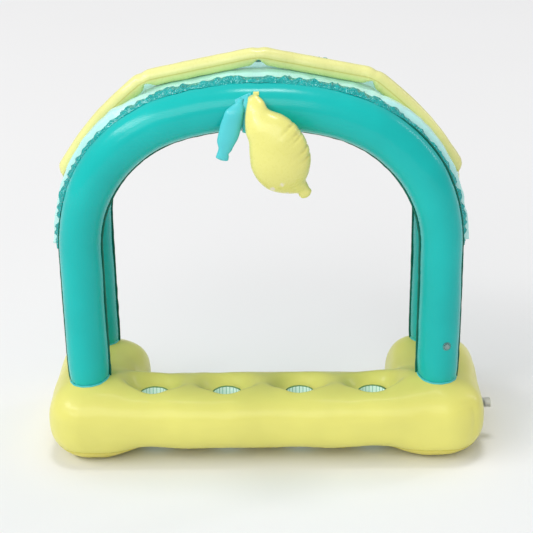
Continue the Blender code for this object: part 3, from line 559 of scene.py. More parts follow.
@dataclass
class Base:
    """The U-shaped base: upper shell, bottom sheet and the hem where they are welded."""

    width: float = 1.400
    depth: float = 0.590
    bar: float = 0.294
    leg_crown: float = 0.247
    bar_crown: float = 0.235
    lift: float = 0.029
    lift_ripple: float = 0.003
    lift_from: float = 0.490
    lift_full: float = 0.360
    press: float = 0.006
    corners: tuple[float, float, float] = (0.125, 0.030, 0.030)
    seam: float = 0.046
    power: float = 2.5
    end_power: float = 2.3
    well_pitch: float = 0.233
    well_rim: float = 0.193
    well_hole: float = 0.0468
    dimple_flat: float = 0.0495
    fall_behind: float = 0.028
    fall_beside: float = 0.036
    fall_front: float = 0.013
    steps: tuple[int, int, int, int] = (130, 34, 26, 26)
    shell_columns: int = 150
    sheet_columns: int = 44
    hem_width: float = 0.0011
    hem_thickness: float = 0.0008
    wells: list[Vector] = field(default_factory=lambda: [node_centre(f"cup_well_{k}") for k in range(1, 5)])
    legs: list[Vector] = field(default_factory=list)
    tree: BVHTree | None = None

    def rails(self) -> tuple[Array, Array]:
        """Outer, crown and inner rail and the end scale at each station, from left to right."""
        x = np.array([self.width / 2, (self.width - self.bar) / 2, self.width / 2 - self.bar])
        y = np.array([-self.depth / 2, (self.bar - self.depth) / 2, self.bar - self.depth / 2])
        r = np.array(self.corners)
        front, corner, side, end = self.steps
        rails, scales = [], []
        for share in np.linspace(0, 1, front + 1):
            rails.append(np.stack([(x - r) * share, y], axis=1))
            scales.append(1.0)
        for turn in np.linspace(0, math.pi / 2, corner + 1)[1:]:
            rails.append(np.stack([x - r + r * math.sin(turn), y + r - r * math.cos(turn)], axis=1))
            scales.append(1.0)
        rear = (self.depth - self.bar) / 2
        for share in np.linspace(0, 1, side + 1)[1:]:
            rails.append(np.stack([x, blend(y + r, rear, share)], axis=1))
            scales.append(1.0)
        for turn in np.linspace(0, math.pi / 2, end + 1)[1:-1]:
            rails.append(np.stack([x, np.full(3, rear + self.bar / 2 * math.sin(turn))], axis=1))
            scales.append((1 - math.sin(turn) ** self.end_power) ** (1 / self.end_power))
        right, scale = np.array(rails), np.array(scales)
        left = right[:0:-1] * np.array([-1.0, 1.0])
        return np.concatenate([left, right]), np.concatenate([scale[:0:-1], scale])

    def heights(self, crown: Array) -> tuple[Array, Array]:
        """The lowest and highest level of the section at each station."""
        lifted = 1 - smooth_step(np.abs(crown[:, 0]), self.lift_full, self.lift_from)
        lifted = np.where(crown[:, 1] > -self.depth / 2 + self.bar / 2 + 1e-6, 0.0, lifted)
        ripple = np.cos(2 * math.pi * (crown[:, 0] / self.well_pitch - 1.5))
        low = blend(-self.press, self.lift + self.lift_ripple * ripple, lifted)
        high = blend(self.leg_crown, self.bar_crown, lifted)
        return low, high

    def dimpled(self, x: Array, y: Array, z: Array) -> Array:
        """Draws the top film down round each well."""
        for well in self.wells:
            along, across = np.abs(x - well.x), np.abs(y - well.y)
            reach = np.maximum(np.hypot(along, across), TINY)
            fall = blend(self.fall_behind, self.fall_beside, (along / reach) ** 2)
            fall = blend(fall, self.fall_front, smooth_step((well.y - y) / reach, 0.0, 0.8))
            share = np.exp(-((np.maximum(reach - self.dimple_flat, 0.0) / fall) ** 2))
            z = blend(z, np.minimum(z, self.well_rim), share)
        return z

    def section(self, theta_low: Array, theta_high: Array, columns: int) -> Array:
        """A grid over the stations, between two section angles, counted from the outer edge over the top."""
        rails, scale = self.rails()
        crown = rails[:, 1]
        low, high = self.heights(crown)
        middle, half = (low + high) / 2, (high - low) / 2
        share = np.linspace(0, 1, columns)[None, :]
        theta = theta_low[:, None] + (theta_high - theta_low)[:, None] * share
        across = np.cos(theta)
        rise = np.sign(np.sin(theta)) * (1 - np.abs(across) ** self.power) ** (1 / self.power)
        edge = np.where((across > 0)[..., None], rails[:, None, 0], rails[:, None, 2])
        flat = crown[:, None] + (edge - crown[:, None]) * (np.abs(across) * scale[:, None])[..., None]
        z = middle[:, None] + half[:, None] * rise * scale[:, None]
        z = np.where(rise > 0, self.dimpled(flat[..., 0], flat[..., 1], z), z)
        return np.concatenate([flat, z[..., None]], axis=2)

    def seam_angle(self) -> Array:
        """How far below the section's edge the weld lies, at each station."""
        rails, scale = self.rails()
        low, high = self.heights(rails[:, 1])
        middle, half = (low + high) / 2, (high - low) / 2
        rise = np.clip((middle - self.seam) / (half * scale), 0.0, 1.0)
        across = (1 - rise**self.power) ** (1 / self.power)
        return np.arccos(np.clip(across, 0.0, 1.0))

    def puffed(self, grid: Array) -> Array:
        """Adds what air and welds do: lumps, gathers over the seam, hills at the legs, corner creases."""
        normal = grid_normals(grid, False)
        x, y, z = grid[..., 0], grid[..., 1], grid[..., 2]
        lumps = 0.0022 * wander(grid, 0.16) + 0.0008 * wander(grid, 0.055, 7.0)
        flat = grid * np.array([1.0, 1.0, 0.25])
        gather = wander(flat, 0.013, 3.0) + 0.6 * wander(flat, 0.007, 9.0)
        near_seam = np.exp(-np.maximum(z - self.seam, 0) / 0.020)
        press = 0.0010 * bell(z - self.seam, 0.005)
        move = lumps * smooth_step(z, 0.0, 0.03) + 0.0007 * gather * near_seam - press
        grid = grid + normal * move[..., None]
        lifted = np.zeros_like(z)
        top = smooth_step(normal[..., 2], 0.2, 0.7)
        for leg in self.legs:
            distance = np.hypot(x - leg.x, y - leg.y)
            lifted = lifted + 0.007 * np.exp(-np.maximum(distance - 0.061, 0) / 0.022)
            inner = leg.x - math.copysign(0.100, leg.x)
            lifted = lifted + 0.010 * bell(np.hypot((x - inner) * 1.2, y - leg.y), 0.055)
        grid[..., 2] += lifted * top
        near = [Crease((s * a, b, c), (s * d, e, f), g, h) for s, a, b, c, d, e, f, g, h in CORNER_CREASES]
        grid = creased(grid, near, False)
        grid = self.settled(grid)
        grid = seated(grid, *valve_seat("base_valve"), LARGE_FLANGE)
        low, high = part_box("hose_flange")
        back = Vector((low.x, (low.y + high.y) / 2, (low.z + high.z) / 2)) - SHIFT
        grid = seated(grid, np.array(back), np.array([1.0, 0.0, 0.0]), (high.y - low.y) / 2)
        grid[..., 2] = np.maximum(grid[..., 2], 0.0)
        return grid

    def settled(self, grid: Array) -> Array:
        """Lets the blown film settle: the left end drawn in, the rear ends drooping, one inner side full."""
        x, y, z = grid[..., 0], grid[..., 1], grid[..., 2]
        drawn = 0.012 * smooth_step(-x, 0.52, 0.70) + 0.004 * smooth_step(x, 0.58, 0.70)
        full = 0.018 * smooth_step(y, 0.02, 0.16) * smooth_step(x, -0.50, -0.41) * (x < -0.3)
        droop = 0.018 * smooth_step(y, 0.06, 0.28) * np.clip(z / self.leg_crown, 0, 1)
        return np.stack([x + drawn + full, y, z - droop], axis=-1)

    def opened(self, grid: Array) -> tuple[Array, Array]:
        """Takes the holes for the wells out of a grid.

        Args:
            grid: points in rows and columns.

        Returns:
            The points, those at a hole's edge drawn onto its circle, and the faces left.
        """
        rows, columns = grid.shape[:2]
        points = grid.reshape(-1, 3).copy()
        faces = grid_faces(rows, columns, False, False)
        middles = points[faces].mean(axis=1)
        gone = np.zeros(len(faces), bool)
        for well in self.wells:
            inside = np.hypot(middles[:, 0] - well.x, middles[:, 1] - well.y) < self.well_hole
            gone |= inside
            rim = np.intersect1d(faces[inside], faces[~inside])
            away = points[rim, :2] - np.array([well.x, well.y])
            away *= self.well_hole / np.linalg.norm(away, axis=1, keepdims=True)
            points[rim, :2] = np.array([well.x, well.y]) + away
        return points, faces[~gone]

    def build(self) -> None:
        """Builds the shell, the sheet and the hem."""
        angle = self.seam_angle()
        shell_grid = self.puffed(self.section(-angle, math.pi + angle, self.shell_columns))
        points, faces = self.opened(shell_grid)
        # The end rows are small loops, each closed by one face
        last = (shell_grid.shape[0] - 1) * self.shell_columns
        caps = [[*range(self.shell_columns - 2, -1, -1)], [*range(last, last + self.shell_columns - 1)]]
        faces = [*faces.tolist(), *caps]
        shell = mesh_object("base_shell_film", points, faces)
        self.face_out(shell)
        mark(shell, "weld", bell(points[:, 2] - self.seam, 0.0016))
        self.tree = BVHTree.FromPolygons(points.tolist(), faces)
        settle(shell, BASE_FILM, replaces=["base_shell"])

        sheet_grid = self.settled(self.section(math.pi + angle, 2 * math.pi - angle, self.sheet_columns))
        inner, outer = shell_grid[:, -1] - sheet_grid[:, 0], shell_grid[:, 0] - sheet_grid[:, -1]
        fade = np.linspace(1, 0, sheet_grid.shape[1])[None, :, None]
        sheet_grid = sheet_grid + inner[:, None] * fade**8 + outer[:, None] * fade[:, ::-1] ** 8
        loose = 4 * fade[..., 0] * (1 - fade[..., 0])
        sheet_grid[..., 2] = np.maximum(sheet_grid[..., 2] + 0.0012 * loose * wander(sheet_grid, 0.05), 0.0)
        points, faces = self.opened(sheet_grid)
        sheet = mesh_object("base_bottom_film", points, faces)
        self.face_out(sheet)
        mark(sheet, "weld", bell(points[:, 2] - self.seam, 0.002))
        settle(sheet, BOTTOM_FILM, replaces=["base_bottom_sheet"])
        self.build_hem(shell_grid)

    @staticmethod
    def face_out(obj: bpy.types.Object) -> None:
        """Turns a film's faces outwards, by which way most of them look."""
        total = sum(p.normal.z * p.area * (p.center.z - 0.1) for p in obj.data.polygons)
        if total < 0:
            obj.data.flip_normals()
        obj.data.update()

    def build_hem(self, grid: Array) -> None:
        """A thin strip stands out along the weld, round the outside and the inside of the U."""
        for name, column in (("outer", 0), ("inner", -1)):
            edge = grid[:, column].copy()
            run = np.gradient(edge, axis=0)
            run /= np.maximum(np.linalg.norm(run, axis=1, keepdims=True), TINY)
            away = np.cross(run, np.array([0.0, 0.0, 1.0]))
            away /= np.maximum(np.linalg.norm(away, axis=1, keepdims=True), TINY)
            inwards = edge - grid.mean(axis=1)
            away *= np.sign((away * inwards).sum(axis=1, keepdims=True))
            keep = self.seam_angle() < math.pi / 2 - 0.02
            edge, away = edge[keep], away[keep]
            wave = wander(edge, 0.012, 5.0)[:, None] * np.array([0, 0, 0.0006])
            half = np.array([0, 0, self.hem_thickness / 2])
            rows = [edge - away * 0.001 - half, edge + away * self.hem_width - half * 0.6 + wave,
                    edge + away * self.hem_width + half * 0.6 + wave, edge - away * 0.001 + half]
            hem = skin(f"base_hem_{name}", np.stack(rows, axis=1), True, (End.FAN, End.FAN))
            settle(hem, HEM_FILM)

    def height_at(self, x: float, y: float) -> float:
        """The top film's height at a place, which build() has to have made."""
        hit = self.tree.ray_cast(Vector((x, y, 1.0)), Vector((0, 0, -1)))[0]
        return hit.z if hit else self.leg_crown


# Creases near the base's corners: side, start, end, depth and width
CORNER_CREASES = [
    (-1, 0.640, -0.272, 0.205, 0.592, -0.282, 0.192, 0.0022, 0.009),
    (-1, 0.600, -0.280, 0.150, 0.560, -0.287, 0.120, 0.0012, 0.012),
    (1, 0.615, -0.272, 0.212, 0.668, -0.235, 0.190, 0.0026, 0.010),
    (1, 0.640, -0.262, 0.190, 0.676, -0.225, 0.150, 0.0018, 0.010),
    (1, 0.662, -0.262, 0.080, 0.668, -0.250, 0.200, 0.0040, 0.014),
    (1, 0.420, 0.010, 0.200, 0.445, -0.040, 0.228, 0.0024, 0.010),
    (-1, 0.420, 0.010, 0.200, 0.445, -0.040, 0.228, 0.0024, 0.010),
]


@dataclass
class CupWells:
    """Four mint sleeves with vertical welds, a floor and a dark rim weld."""

    radius: float = 0.0445
    floor: float = 0.0305
    rim: float = 0.193
    rim_width: float = 0.0036
    panels: int = 24
    puff: float = 0.0012
    steps: int = 56
    sides: int = 240

    def build(self) -> None:
        """Builds each well where its CAD node is."""
        for number in range(1, 5):
            centre = node_centre(f"cup_well_{number}")
            self.build_sleeve(number, centre)
            self.build_rim(number, centre)

    def build_sleeve(self, number: int, centre: Vector) -> None:
        """The sleeve bows in between its welds; its floor closes it."""
        share = np.linspace(0, 1, self.steps)
        turn = np.linspace(0, 2 * math.pi, self.sides, endpoint=False)
        panel = np.abs(np.sin(turn * self.panels / 2 + number))
        bulge = np.clip(np.sin(np.pi * share), 0, 1) ** 0.6
        reach = self.radius - self.puff * bulge[:, None] * panel[None, :] ** 0.7
        z = blend(self.rim, self.floor, share)
        x = centre.x + reach * np.cos(turn)
        y = centre.y + reach * np.sin(turn)
        wall = np.stack([x, y, np.broadcast_to(z[:, None], x.shape)], axis=2)
        outward = np.stack([np.cos(turn), np.sin(turn)], 1)
        wall[..., :2] += 0.0007 * wander(wall, 0.02, number)[..., None] * outward
        rings = [wall]
        for inner in (0.93, 0.88, 0.6, 0.3, 0.08):
            row = wall[-1].copy()
            middle = np.array([centre.x, centre.y])
            row[:, :2] = middle + (row[:, :2] - middle) * inner
            row[:, 2] = self.floor + (0.0012 if inner == 0.93 else 0.0)
            rings.append(row[None])
        grid = np.concatenate(rings)
        well = skin(f"cup_well_{number}_sleeve", grid, True, (End.OPEN, End.FAN))
        well.data.flip_normals()
        marks = np.zeros(grid.shape[:2])
        marks[: self.steps] = (1 - smooth_step(panel, 0.10, 0.40))[None, :]
        marks[self.steps] = 1.0
        mark(well, "weld", marks)
        thicken(well, 0.0006, -1.0)
        settle(well, WELL_FILM, replaces=[f"cup_well_{number}"])

    def build_rim(self, number: int, centre: Vector) -> None:
        """The flat weld between the sleeve and the top film, softly waved."""
        turn = np.linspace(0, 2 * math.pi, self.sides, endpoint=False)
        inner, outer = self.radius - 0.0008, self.radius + self.rim_width
        profile = [(inner, 0.0), (inner + 0.0008, 0.0012), (blend(inner, outer, 0.5), 0.0012),
                   (outer, 0.0006), (outer, -0.0012), (inner, -0.0012)]
        rows = []
        for reach, rise in profile:
            x, y = centre.x + reach * np.cos(turn), centre.y + reach * np.sin(turn)
            row = np.stack([x, y, np.full(self.sides, self.rim + rise)], 1)
            row[:, 2] += 0.0006 * wander(row, 0.012, 2.0)
            rows.append(row)
        grid = np.stack(rows, axis=1)
        rim = skin(f"cup_well_{number}_rim", np.concatenate([grid, grid[:1]]), True)
        settle(rim, WELL_RIM)


# Arches


@dataclass
class ArchShape:
    """The three-centred line that tubes, seams, roof and sleeves all follow."""

    half_span: float = 0.5575
    crown_height: float = 1.143
    crown_radius: float = 0.930
    shoulder_radius: float = 0.435
    tube: float = 0.0648
    foot: float = 0.2363
    foot_lean: float = 0.0045
    spacing: float = 0.296
    swell: float = 0.006
    swell_turn: float = math.radians(40.0)

    @property
    def crown_z(self) -> float:
        """Height of the crown arc's centre."""
        return self.crown_height - self.crown_radius

    @property
    def shoulder_x(self) -> float:
        """How far each shoulder arc's centre lies from the middle."""
        return self.half_span - self.shoulder_radius

    @property
    def sweep(self) -> float:
        """The crown arc's half angle."""
        return math.asin(self.shoulder_x / (self.crown_radius - self.shoulder_radius))

    @property
    def shoulder_z(self) -> float:
        """Height of the shoulder arcs' centres."""
        return self.crown_z + (self.crown_radius - self.shoulder_radius) * math.cos(self.sweep)

    @property
    def crown_tube(self) -> float:
        """The tube's radius on the crown, where it has swollen."""
        return self.tube + self.swell

    @property
    def crown_line(self) -> float:
        """The radius of the tube's middle line on the crown."""
        return self.crown_radius + self.swell

    def bulge(self, angle: Array) -> Array:
        """How much wider the tube is at each place than on the legs; its inner line stays where it is."""
        return self.swell * smooth_step(math.pi / 2 - np.abs(angle), 0.0, self.swell_turn)

    def bare(self, angle: Array) -> Array:
        """Where the outer weld lies open to view: on the legs and down the right shoulder."""
        right = smooth_step(angle, math.radians(25), math.radians(50))
        return np.maximum(right, smooth_step(-angle, math.radians(70), math.radians(85)))

    def line(self, step: float, legs: bool = True) -> tuple[Array, Array, Array, Array]:
        """Places along the arch from left to right.

        Args:
            step: the distance between places, at the tube's middle.
            legs: whether the straight legs are part of it.

        Returns:
            X, Z, the outward angle from straight up, and the distance along.
        """
        leg = self.shoulder_z - self.foot if legs else 0.0
        shoulder = self.shoulder_radius * (math.pi / 2 - self.sweep)
        crown = self.crown_radius * self.sweep
        half = leg + shoulder + crown
        count = max(8, round(half / step))
        along = np.linspace(0, half, count + 1)
        x, z, angle = np.empty(count + 1), np.empty(count + 1), np.empty(count + 1)
        for i, s in enumerate(along):
            if s <= leg:
                drawn = self.foot_lean * (1 - s / leg) ** 2 if leg else 0.0
                x[i], z[i], angle[i] = drawn - self.half_span, self.shoulder_z - leg + s, -math.pi / 2
            elif s <= leg + shoulder:
                a = -math.pi / 2 + (s - leg) / self.shoulder_radius
                x[i] = -self.shoulder_x + self.shoulder_radius * math.sin(a)
                z[i] = self.shoulder_z + self.shoulder_radius * math.cos(a)
                angle[i] = a
            else:
                a = -self.sweep + (s - leg - shoulder) / self.crown_radius
                x[i] = self.crown_radius * math.sin(a)
                z[i] = self.crown_z + self.crown_radius * math.cos(a)
                angle[i] = a
        x = np.concatenate([x, -x[-2::-1]])
        z = np.concatenate([z, z[-2::-1]])
        angle = np.concatenate([angle, -angle[-2::-1]])
        return x, z, angle, np.concatenate([along, 2 * half - along[-2::-1]])

    def curl(self, along: Array, total: float, legs: bool = True) -> Array:
        """How strongly the arch bends at each place: 1 on the shoulders, less on the crown, 0 on the legs."""
        leg = self.shoulder_z - self.foot if legs else 0.0
        shoulder = leg + self.shoulder_radius * (math.pi / 2 - self.sweep)
        s = np.minimum(along, total - along)
        onto = smooth_step(s, leg - 0.02, leg + 0.05)
        crown = smooth_step(s, shoulder - 0.05, shoulder + 0.05)
        return onto * (1 - 0.5 * crown)


def out_of_arch(x: Array, z: Array, angle: Array, outward: Array, y: Array) -> Array:
    """Points this far outward of the arch's line, at depth y."""
    px = x[:, None] + outward * np.sin(angle)[:, None]
    pz = z[:, None] + outward * np.cos(angle)[:, None]
    return np.stack([px, np.broadcast_to(y, px.shape), pz], axis=2)


@dataclass
class Arch:
    """One tube arch with its inner and outer weld fins and the rings at its feet."""

    row: Row
    shape: ArchShape
    base: Base
    step: float = 0.0058
    sides: int = 72
    fin_width: float = 0.0046
    fin_thickness: float = 0.0011
    ring_width: float = 0.0020
    foot_pinch: float = 0.0042

    @property
    def y(self) -> float:
        """The arch's place."""
        return self.row.value * self.shape.spacing / 2

    @property
    def name(self) -> str:
        """front_arch or rear_arch."""
        return f"{self.row.name.lower()}_arch"

    def foot_heights(self, side: Side) -> Array:
        """The base film's height under each side of a leg's wall."""
        turn = np.linspace(0, 2 * math.pi, self.sides, endpoint=False)
        reach = self.shape.tube - self.foot_pinch
        middle = self.shape.half_span - self.shape.foot_lean
        places = zip(side.value * (middle + reach * np.cos(turn)), self.y + reach * np.sin(turn))
        return np.array([self.base.height_at(px, py) for px, py in places])

    def build(self) -> None:
        """Builds the tube, its fins and its rings."""
        shape = self.shape
        x, z, angle, along = shape.line(self.step)
        total = along[-1]
        curl = shape.curl(along, total)[:, None]
        turn = np.linspace(0, 2 * math.pi, self.sides, endpoint=False)[None, :]
        seed = 11.0 * self.row.value
        flat = out_of_arch(x, z, angle, shape.tube * np.cos(turn), self.y + shape.tube * np.sin(turn))
        bulge = shape.bulge(angle)[:, None]
        from_inner = np.abs(turn - math.pi) * shape.tube
        from_outer = np.minimum(turn, 2 * math.pi - turn) * shape.tube
        line = np.stack([along, along * 0, along * 0], axis=1)
        pleat = (wander(line, 0.011, seed) + 0.7 * wander(line, 0.006, seed + 3))[:, None]
        swell = wander(flat, 0.10, seed) * 0.0010
        pleats = 0.0007 * curl * pleat * np.exp(-from_inner / 0.017)
        beside = np.exp(-np.minimum(from_outer, from_inner) / 0.009)
        ripples = 0.0005 * (0.4 + 0.6 * (1 - curl)) * pleat * beside
        dark = self.shape.bare(angle)[:, None]
        tuck = -0.0014 * np.maximum(dark * np.exp(-from_outer / 0.0035), np.exp(-from_inner / 0.0035))
        height = np.minimum(along, total - along)[:, None]
        circle = np.stack([np.cos(turn[0]), np.sin(turn[0]), 0 * turn[0]], 1)
        foot_line = np.broadcast_to(circle[None] * 0.07, flat.shape)
        foot_pleat = 0.0012 * wander(foot_line, 0.010, seed) * np.exp(-height / 0.016)
        pinch = -self.foot_pinch * np.exp(-height / 0.022)
        reach = shape.tube + bulge + swell + pleats + ripples + tuck + foot_pleat + pinch
        grid = out_of_arch(x, z, angle, bulge + reach * np.cos(turn), self.y + reach * np.sin(turn))
        grid = seated(grid, *valve_seat(f"{self.name}_valve"), LARGE_FLANGE)
        leg = shape.shoulder_z - shape.foot
        for side, near in ((Side.LEFT, along), (Side.RIGHT, total - along)):
            drop = self.foot_heights(side) - shape.foot
            fade = np.clip(1 - near / (leg * 0.5), 0, 1)[:, None]
            grid[..., 2] += drop[None, :] * fade
        tube = skin(f"{self.name}_tube", grid, True, (End.FAN, End.FAN))
        weld = np.maximum(dark * np.exp(-from_outer / 0.0022), np.exp(-from_inner / 0.0022))
        mark(tube, "weld", weld)
        settle(tube, ARCH_FILM, replaces=[self.name])
        for edge, sign in (("outer", 1), ("inner", -1)):
            self.build_fin(edge, sign, x, z, angle, along)
        for side in Side:
            self.build_ring(side)

    def build_fin(self, edge: str, sign: int, x: Array, z: Array, angle: Array, along: Array) -> None:
        """The weld's loose edge, a thin wavy strip on the tube's inner or outer line."""
        total = along[-1]
        keep = np.minimum(along, total - along) > 0.002
        x, z, angle, along = x[keep], z[keep], angle[keep], along[keep]
        line = np.stack([along, along * 0, along * 0], axis=1)
        seed = 20.0 * sign + self.row.value
        wave = 0.0010 * wander(line, 0.016, seed) + 0.0003 * wander(line, 0.005, seed)
        dark = self.shape.bare(angle) if sign > 0 else np.ones_like(angle)
        width = self.fin_width * (0.9 + 0.15 * wander(line, 0.03, seed + 5)) * (0.3 + 0.7 * dark)
        width = width * (1.0 if sign > 0 else 1.35)
        half = self.fin_thickness / 2
        lift = 2 * self.shape.bulge(angle) if sign > 0 else 0.0 * angle
        tube = self.shape.tube - self.foot_pinch * np.exp(-np.minimum(along, total - along) / 0.022)
        base = sign * (tube - 0.0020) + lift
        tip = sign * (tube + width) + lift
        outward = np.stack([base, blend(base, tip, 0.6), tip, tip, blend(base, tip, 0.6), base], axis=1)
        lean = np.stack([0 * wave, wave * 0.5, wave, wave, wave * 0.5, 0 * wave], axis=1)
        thick = np.array([-half, -half, -half * 0.7, half * 0.7, half, half])[None, :]
        px = x[:, None] + outward * np.sin(angle)[:, None]
        pz = z[:, None] + outward * np.cos(angle)[:, None]
        grid = np.stack([px, self.y + lean + thick, pz], axis=2)
        fin = skin(f"{self.name}_{edge}_fin", grid, True, (End.FAN, End.FAN))
        mark(fin, "weld", np.repeat(dark, 6))
        settle(fin, SEAM_FILM, replaces=[f"{self.name}_{edge}_seam"])

    def build_ring(self, side: Side) -> None:
        """The pale ring that joins a leg to the base, turned up a little at its inner edge."""
        turn = np.linspace(0, 2 * math.pi, self.sides, endpoint=False)
        low = self.foot_heights(side)
        inner = self.shape.tube - self.foot_pinch + 0.0012
        middle = self.shape.half_span - self.shape.foot_lean
        profile = [(0.0, 0.0040), (0.0010, 0.0030), (self.ring_width, 0.0010),
                   (self.ring_width + 0.0004, -0.0010), (0.0, -0.0030)]
        rows = []
        for out, rise in profile:
            reach = inner + out + 0.0004 * np.sin(13 * turn + side.value)
            px = side.value * (middle + reach * np.cos(turn))
            rows.append(np.stack([px, self.y + reach * np.sin(turn), low + rise], axis=1))
        grid = np.stack(rows, axis=1)
        ring = skin(f"{self.name}_{side.name.lower()}_ring", np.concatenate([grid, grid[:1]]), True)
        node = f"leg_ring_{self.row.name.lower()}_{side.name.lower()}"
        settle(ring, RING_FILM, replaces=[node])


# Roof


@dataclass
class Roof:
    """The film over both arches, the crinkled sleeves at its edges, the ridge tube and its tails."""

    shape: ArchShape
    under: float = 0.0004
    film: float = 0.0009
    sag: float = 0.006
    sleeve_width: float = 0.055
    sleeve_height: float = 0.016
    rib_radius: float = 0.027
    rib_upper: float = math.radians(11.4)
    rib_lower: float = math.radians(48.7)
    rib_press: float = 0.033
    rib_overhang: float = 0.064
    rib_bow: float = 0.020
    tail: float = 0.155
    rib_end: float = 0.030
    rib_step: float = 0.0036
    rib_sides: int = 60
    fillet: float = 0.026
    pinch: float = 0.020

    @property
    def rest(self) -> float:
        """How far the film's top lies from the tube's middle line where it hasn't swollen."""
        return self.shape.tube + self.under + self.film

    def build(self) -> None:
        """Builds the film, the sleeves, the ridge tube and its tails."""
        self.build_canopy()
        for row in Row:
            self.build_sleeve(row)
        self.build_rib()

    def build_canopy(self) -> None:
        """One film from shoulder to shoulder, taut on the tubes and slack between them and at its ends."""
        x, z, angle, along = self.shape.line(0.0058, legs=False)
        total = along[-1]
        half = self.shape.spacing / 2 - 0.0013
        y = np.linspace(-half, half, 61)
        across = np.abs(y)
        span = np.clip(1 - across / half, 0, 1)
        free = np.clip(np.sin(np.pi * span), 0, 1)
        dip = self.sag * free**1.2 * (1 - 0.6 * bell(across, 0.030))
        valley = 1 - smooth_step(across, 0.020, 0.064)
        near = np.minimum(along, total - along)[:, None]
        end = np.exp(-near / 0.040)
        level = (self.rest + 2 * self.shape.bulge(angle))[:, None]
        outward = level - dip[None, :] - self.pressed(x, z, angle)[:, None] * valley[None, :]
        flat = out_of_arch(x, z, angle, outward, y[None, :])
        gather = wander(flat * np.array([1, 0.12, 1]), 0.011, 4.0) * bell(across - 0.093, 0.030)[None, :]
        waves = 0.0024 * wander(flat * np.array([1, 0.45, 1]), 0.030, 4.0) + 0.0008 * gather
        side = smooth_step(np.abs(angle), math.radians(14), math.radians(40))[:, None]
        flare = np.maximum(0.020 * bell(near - 0.075, 0.085), 0.026 * side)
        flare = flare * smooth_step(across, 0.028, 0.050)[None, :]
        flare = flare * (1 - smooth_step(across, half - 0.052, half - 0.030))[None, :]
        frill = 0.0075 * np.sin(y * 2 * math.pi / 0.047 + 1.0)[None, :] * end + flare
        outward = outward + (waves + frill) * free[None, :] ** 0.5
        grid = out_of_arch(x, z, angle, outward, y[None, :])
        hem = 0.006 * wander(np.stack([y, y * 0, y * 0], 1), 0.03, 2.0)
        grid[..., 2] += end * hem[None, :]
        film = skin("roof_film_sheet", grid, False, outside=None)
        self.face_away(film)
        thicken(film, self.film, -1.0)
        settle(film, ROOF_FILM, replaces=["canopy_film"])

    def pressed(self, x: Array, z: Array, angle: Array) -> Array:
        """How far the ridge tube's underside pushes the film in at each place along the arch."""
        corners = self.rib_corners()
        top, bend = corners[2:4]
        outward = np.stack([np.sin(np.abs(angle)), np.cos(angle)], axis=1)
        room = np.full(len(x), 1.0)
        for corner, slope in ((top, self.rib_upper), (bend, self.rib_lower)):
            square = np.array([math.sin(slope), math.cos(slope)])
            gap = (corner - np.stack([np.abs(x), z], axis=1)) @ square - self.rib_radius - 0.0004
            room = np.minimum(room, gap / (outward @ square))
        share = (np.abs(x) - bend[0]) / (corners[4][0] - bend[0])
        bow = self.rib_bow * np.sin(np.pi * np.clip(share, 0.0, 1.0))
        return np.maximum(self.rest + 2 * self.shape.bulge(angle) - room - bow, 0.0)

    def face_away(self, obj: bpy.types.Object) -> None:
        """Turns a film laid over the arches so that it faces away from their middle."""
        middle = Vector((0, 0, self.shape.shoulder_z)) + SHIFT
        if sum(p.normal.dot(p.center - middle) * p.area for p in obj.data.polygons) < 0:
            obj.data.flip_normals()
            obj.data.update()

    def build_sleeve(self, row: Row) -> None:
        """A limp glossy strip behind the front seam, or before the rear one, gathered into cross folds."""
        x, z, angle, along = self.shape.line(0.0024, legs=False)
        total = along[-1]
        share = np.linspace(0, 1, 31)
        seed = 30.0 + row.value
        line = np.stack([along, along * 0, along * 0], axis=1)
        bare = self.shape.bare(angle)[:, None]
        lead = np.clip(0.006 + 0.006 * wander(line, 0.040, seed + 7), 0.0015, 0.014)[:, None]
        lead = blend(lead, -0.0016, bare)
        bend = 0.006 * wander(line, 0.05, seed)
        s = along[:, None] + bend[:, None] * share[None, :] + 0.004 * np.sin(5 * share)[None, :]
        place = np.stack([s, np.broadcast_to(share[None, :] * 0.018, s.shape), 0 * s], axis=2)
        fold = ridges(place, 0.024, seed) ** 1.3
        fine = ridges(place * np.array([1, 2.2, 1]), 0.011, seed + 9) ** 2
        wide = wander(place, 0.06, seed + 5)
        rise = np.clip(np.sin(np.pi * share), 0, 1) ** 0.55
        lean = np.interp(share, [0, 0.15, 0.6, 1], [0.25, 1.0, 0.75, 0.0])
        near = np.minimum(along, total - along)
        slack = (0.45 + 0.55 * smooth_step(near, 0.0, 0.05)) * (1 - 0.4 * bell(near - 0.33, 0.16))
        height = self.sleeve_height * (rise * lean)[None, :] * (0.25 + 0.85 * fold + 0.25 * wide)
        height = height * slack[:, None]
        height = np.maximum(height + 0.0022 * rise[None, :] * fine, 0.0)
        bulge = self.shape.bulge(angle)[:, None]
        top = self.rest + 0.0006 + 2 * bulge
        laid = blend(self.shape.tube + 2 * bulge + 0.0008 - lead**2 / (2 * self.shape.tube), top, bare)
        level = blend(laid, top, smooth_step(share, 0.0, 0.15)[None, :])
        shuffle = 0.003 * wander(place, 0.02, seed + 2) * rise[None, :]
        narrow = 1 - 0.42 * smooth_step(np.abs(angle), math.radians(20), math.radians(50))[:, None]
        reach = (self.sleeve_width * narrow + lead) * share[None, :] - lead + shuffle
        grid = out_of_arch(x, z, angle, level + height, row.value * (self.shape.spacing / 2 - reach))
        film = skin(f"{row.name.lower()}_sleeve_film", grid, False)
        self.face_away(film)
        settle(film, SLEEVE_FILM, replaces=[f"{row.name.lower()}_sleeve"])
        f"{row.name.lower()}_arch"

